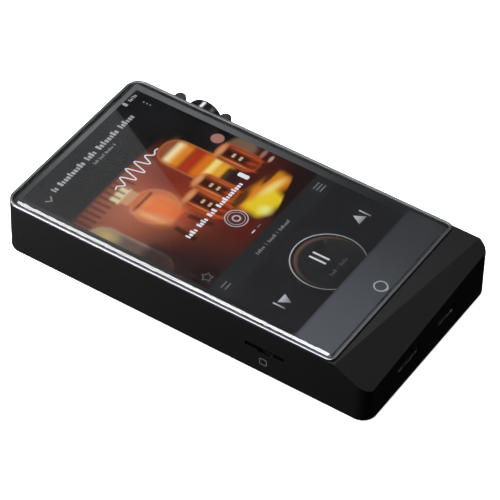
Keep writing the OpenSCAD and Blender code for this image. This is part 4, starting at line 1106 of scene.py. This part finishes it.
marks = {"lowMm": 16.792, "highMm": 16.815}
ink = {
    "bright": {"low": "#d8d8d8", "high": "#f2f2f2", "fromMm": -30, "toMm": 12},
    "silver": {"low": "#7c7c7e", "high": "#cfcfd0", "fromMm": -27.2, "toMm": -22.5},
    "title": {"low": "#8e8e8e", "high": "#b4b4b4", "fromMm": 45, "toMm": 55},
    "faint": {"low": "#4c4c4e", "high": "#77787a", "fromMm": -32, "toMm": -8},
    "dim": {"low": "#38383a", "high": "#3e3e40", "fromMm": -32, "toMm": -28},
    "ring": {"low": "#5c5c5e", "high": "#b9b9ba", "fromMm": -40, "toMm": -16},
}


def addBar(parts, x, y, wide, tall, roundness=0.0):
    parts.append(slabPart((x - wide / 2, y - tall / 2, marks["lowMm"]),
                          (x + wide / 2, y + tall / 2, marks["highMm"]), (roundness,) * 2, 3))


def addWords(parts, x, y, tall, widths, gap, pitch=1.0):
    # words are shown as runs of plain upright dashes of two heights
    count = 0
    for wide in widths:
        steps = max(1, round(wide / pitch))
        for step in range(steps):
            high = tall if step == 0 or count % 4 == 2 else tall * 0.68
            addBar(parts, x + (step + 0.5) * wide / steps, y - (tall - high) / 2,
                   wide / steps * (0.74 if count % 3 else 0.55), high, tall * 0.12)
            count += 1
        x += wide + gap


def addStroke(parts, points, wide, closed=False):
    # a line of even width through points, flattened to the depth of the marks
    data = bpy.data.curves.new("stroke", "CURVE")
    data.dimensions = "3D"
    data.bevel_depth = wide / 2 * mm
    data.bevel_resolution = 2
    data.use_fill_caps = True
    line = data.splines.new("POLY")
    line.points.add(len(points) - 1)
    for point, (x, y) in zip(line.points, points):
        point.co = (x * mm, y * mm, 0, 1)
    line.use_cyclic_u = closed
    shape = bpy.data.objects.new("stroke", data)
    bpy.context.scene.collection.objects.link(shape)
    mesh = bpy.data.meshes.new_from_object(shape)
    bm = bmesh.new()
    bm.from_mesh(mesh)
    bmesh.ops.remove_doubles(bm, verts=bm.verts, dist=1e-7)
    deep = marks["highMm"] - marks["lowMm"]
    bmesh.ops.scale(bm, vec=(1, 1, deep / wide), verts=bm.verts)
    bmesh.ops.translate(bm, vec=(0, 0, (marks["lowMm"] + deep / 2) * mm), verts=bm.verts)
    bmesh.ops.recalc_face_normals(bm, faces=bm.faces)
    parts.append(bm)
    bpy.data.objects.remove(shape)
    bpy.data.curves.remove(data)
    bpy.data.meshes.remove(mesh)


def addTriangle(parts, x, y, size, aim):
    bm = bmesh.new()
    deep = (marks["highMm"] - marks["lowMm"]) * mm
    bmesh.ops.create_cone(bm, cap_ends=True, segments=3, radius1=size * mm, radius2=size * mm,
                          depth=deep, matrix=Matrix.Rotation(math.radians(aim), 4, "Z"))
    bmesh.ops.translate(bm, vec=(x * mm, y * mm, (marks["lowMm"] + marks["highMm"]) / 2 * mm),
                        verts=bm.verts)
    bmesh.ops.recalc_face_normals(bm, faces=bm.faces)
    parts.append(bm)


def arcPoints(x, y, r, start, end, steps):
    return [(x + r * math.cos(math.radians(start + (end - start) * i / steps)),
             y + r * math.sin(math.radians(start + (end - start) * i / steps)))
            for i in range(steps + 1)]


def buildMarks():
    groups = {name: [] for name in ink}
    bright, silver, title = groups["bright"], groups["silver"], groups["title"]
    faint, ring, dim = groups["faint"], groups["ring"], groups["dim"]
    # status row, title rows and the two small icons beside them
    addBar(title, 20.7, 55.9, 1.0, 1.5, 0.15)
    addBar(title, 20.7, 56.8, 0.5, 0.3)
    addWords(title, 22.5, 55.9, 1.2, (1.4, 0.2, 1.4), 0.22, 0.7)
    addStroke(title, [(-25.3, 50.9), (-24.0, 49.5), (-22.7, 50.9)], 0.35)
    addWords(title, -20.8, 51.6, 2.0, (1.9, 11.6, 4.4, 9.6, 6.6), 1.2, 1.15)
    addWords(faint, -5.0, 48.7, 1.1, (2.0, 2.6, 3.6, 0.6), 0.5, 0.6)
    for step in range(3):
        addBar(title, 24.7, 52.2 - step * 1.15, 0.5, 0.5, 0.2)
    # a plain sound wave where the cover picture is signed
    wave = []
    for step in range(121):
        t = step / 120
        swell = math.sin(math.pi * t) ** 1.2
        wave.append((-10.2 + 21.0 * t, 37.6 + 3.4 * swell * math.sin(t * 34.0) * (1 - 0.45 * t)))
    addStroke(bright, wave, 0.42)
    # dashes for the line of words over the picture, and a plain ringed dot under it
    addWords(bright, -14.6, 10.2, 1.7, (4.4, 4.0, 3.4, 12.0), 1.1, 1.1)
    addBar(bright, 15.2, 11.2, 1.6, 3.6, 0.5)
    addStroke(ring, arcPoints(-0.3, 3.3, 3.3, 0, 352, 44), 0.32, True)
    addStroke(ring, arcPoints(-0.3, 3.3, 2.5, 0, 352, 44), 0.16, True)
    addStroke(ring, arcPoints(-0.3, 3.3, 1.1, 0, 340, 17), 0.5, True)
    addBar(bright, -2.0, -3.5, 1.6, 0.35, 0.1)
    addBar(faint, 0.8, -3.5, 1.6, 0.25, 0.1)
    # five pointed outline at the lower left of the picture
    star = []
    for step in range(10):
        r = 1.75 if step % 2 == 0 else 0.95
        angle = math.radians(90 + step * 36)
        star.append((-24.1 + r * math.cos(angle), -2.9 + r * math.sin(angle)))
    addStroke(faint, star, 0.24, True)
    # row of details
    for y in (-8.25, -9.55):
        addBar(faint, -23.8, y, 2.8, 0.32)
    for y in (-7.8, -8.9, -10.0):
        addBar(faint, 23.6, y, 3.2, 0.32)
    addWords(faint, -9.0, -9.1, 1.1, (3.8, 0.25, 3.6, 0.25, 5.0), 0.9, 0.75)
    # skip keys and the pause bars
    for side in (-1, 1):
        addTriangle(silver, side * 19.2, -25, 2.15, 180 if side < 0 else 0)
        addBar(silver, side * 22.0, -25, 0.5, 3.9)
        addBar(bright, -0.3 + side * 0.95, -24.1, 0.62, 5.4)
    addWords(dim, -4.4, -30.3, 1.2, (2.8, 0.3, 3.4), 0.9, 0.8)
    # dial ring
    addStroke(ring, arcPoints(0, -27, 10.8, -43, 223, 90), 0.34)
    for name, parts in groups.items():
        piece = makeObject(joinParts(parts), "screenMarks" + name.capitalize(),
                           litPrint(name + " display marks", ink[name]))
        settlePiece(piece)


buildMarks()

icon = {"middleMm": (-26.75, 4.8), "halfMm": (1.22, 1.17), "lineMm": 0.26,
        "proudMm": 0.004, "sunkMm": 0.02, "cornerMm": 0.5}


def buildCardIcon():
    # small rounded square laser marked on the wall under the card slot
    low, _ = boxMm("housing")
    y, z = icon["middleMm"]
    halfY, halfZ = icon["halfMm"]
    bm = bmesh.new()
    addSlab(bm, (y - halfY, z - halfZ, low.x - icon["proudMm"]),
            (y + halfY, z + halfZ, low.x + icon["sunkMm"]), (icon["cornerMm"],) * 2, 4)
    caps = [f for f in bm.faces if abs(f.normal.z) > 0.9]
    bmesh.ops.inset_region(bm, faces=caps, thickness=icon["lineMm"] * mm, use_even_offset=True)
    bmesh.ops.delete(bm, geom=caps, context="FACES")
    bmesh.ops.bridge_loops(bm, edges=[e for e in bm.edges if e.is_boundary])
    bm.transform(alongX)
    bmesh.ops.recalc_face_normals(bm, faces=bm.faces)
    look = {"grainMm": 0.2, "dark": "#3c3c3e", "light": "#4c4c4e", "roughLow": 0.5,
            "roughHigh": 0.6, "bump": 0.1}
    settlePiece(makeObject(bm, "cardSlotMark", mouldedSurface("laser marked grey icon", look)))


buildCardIcon()
print("display marks and icon made")
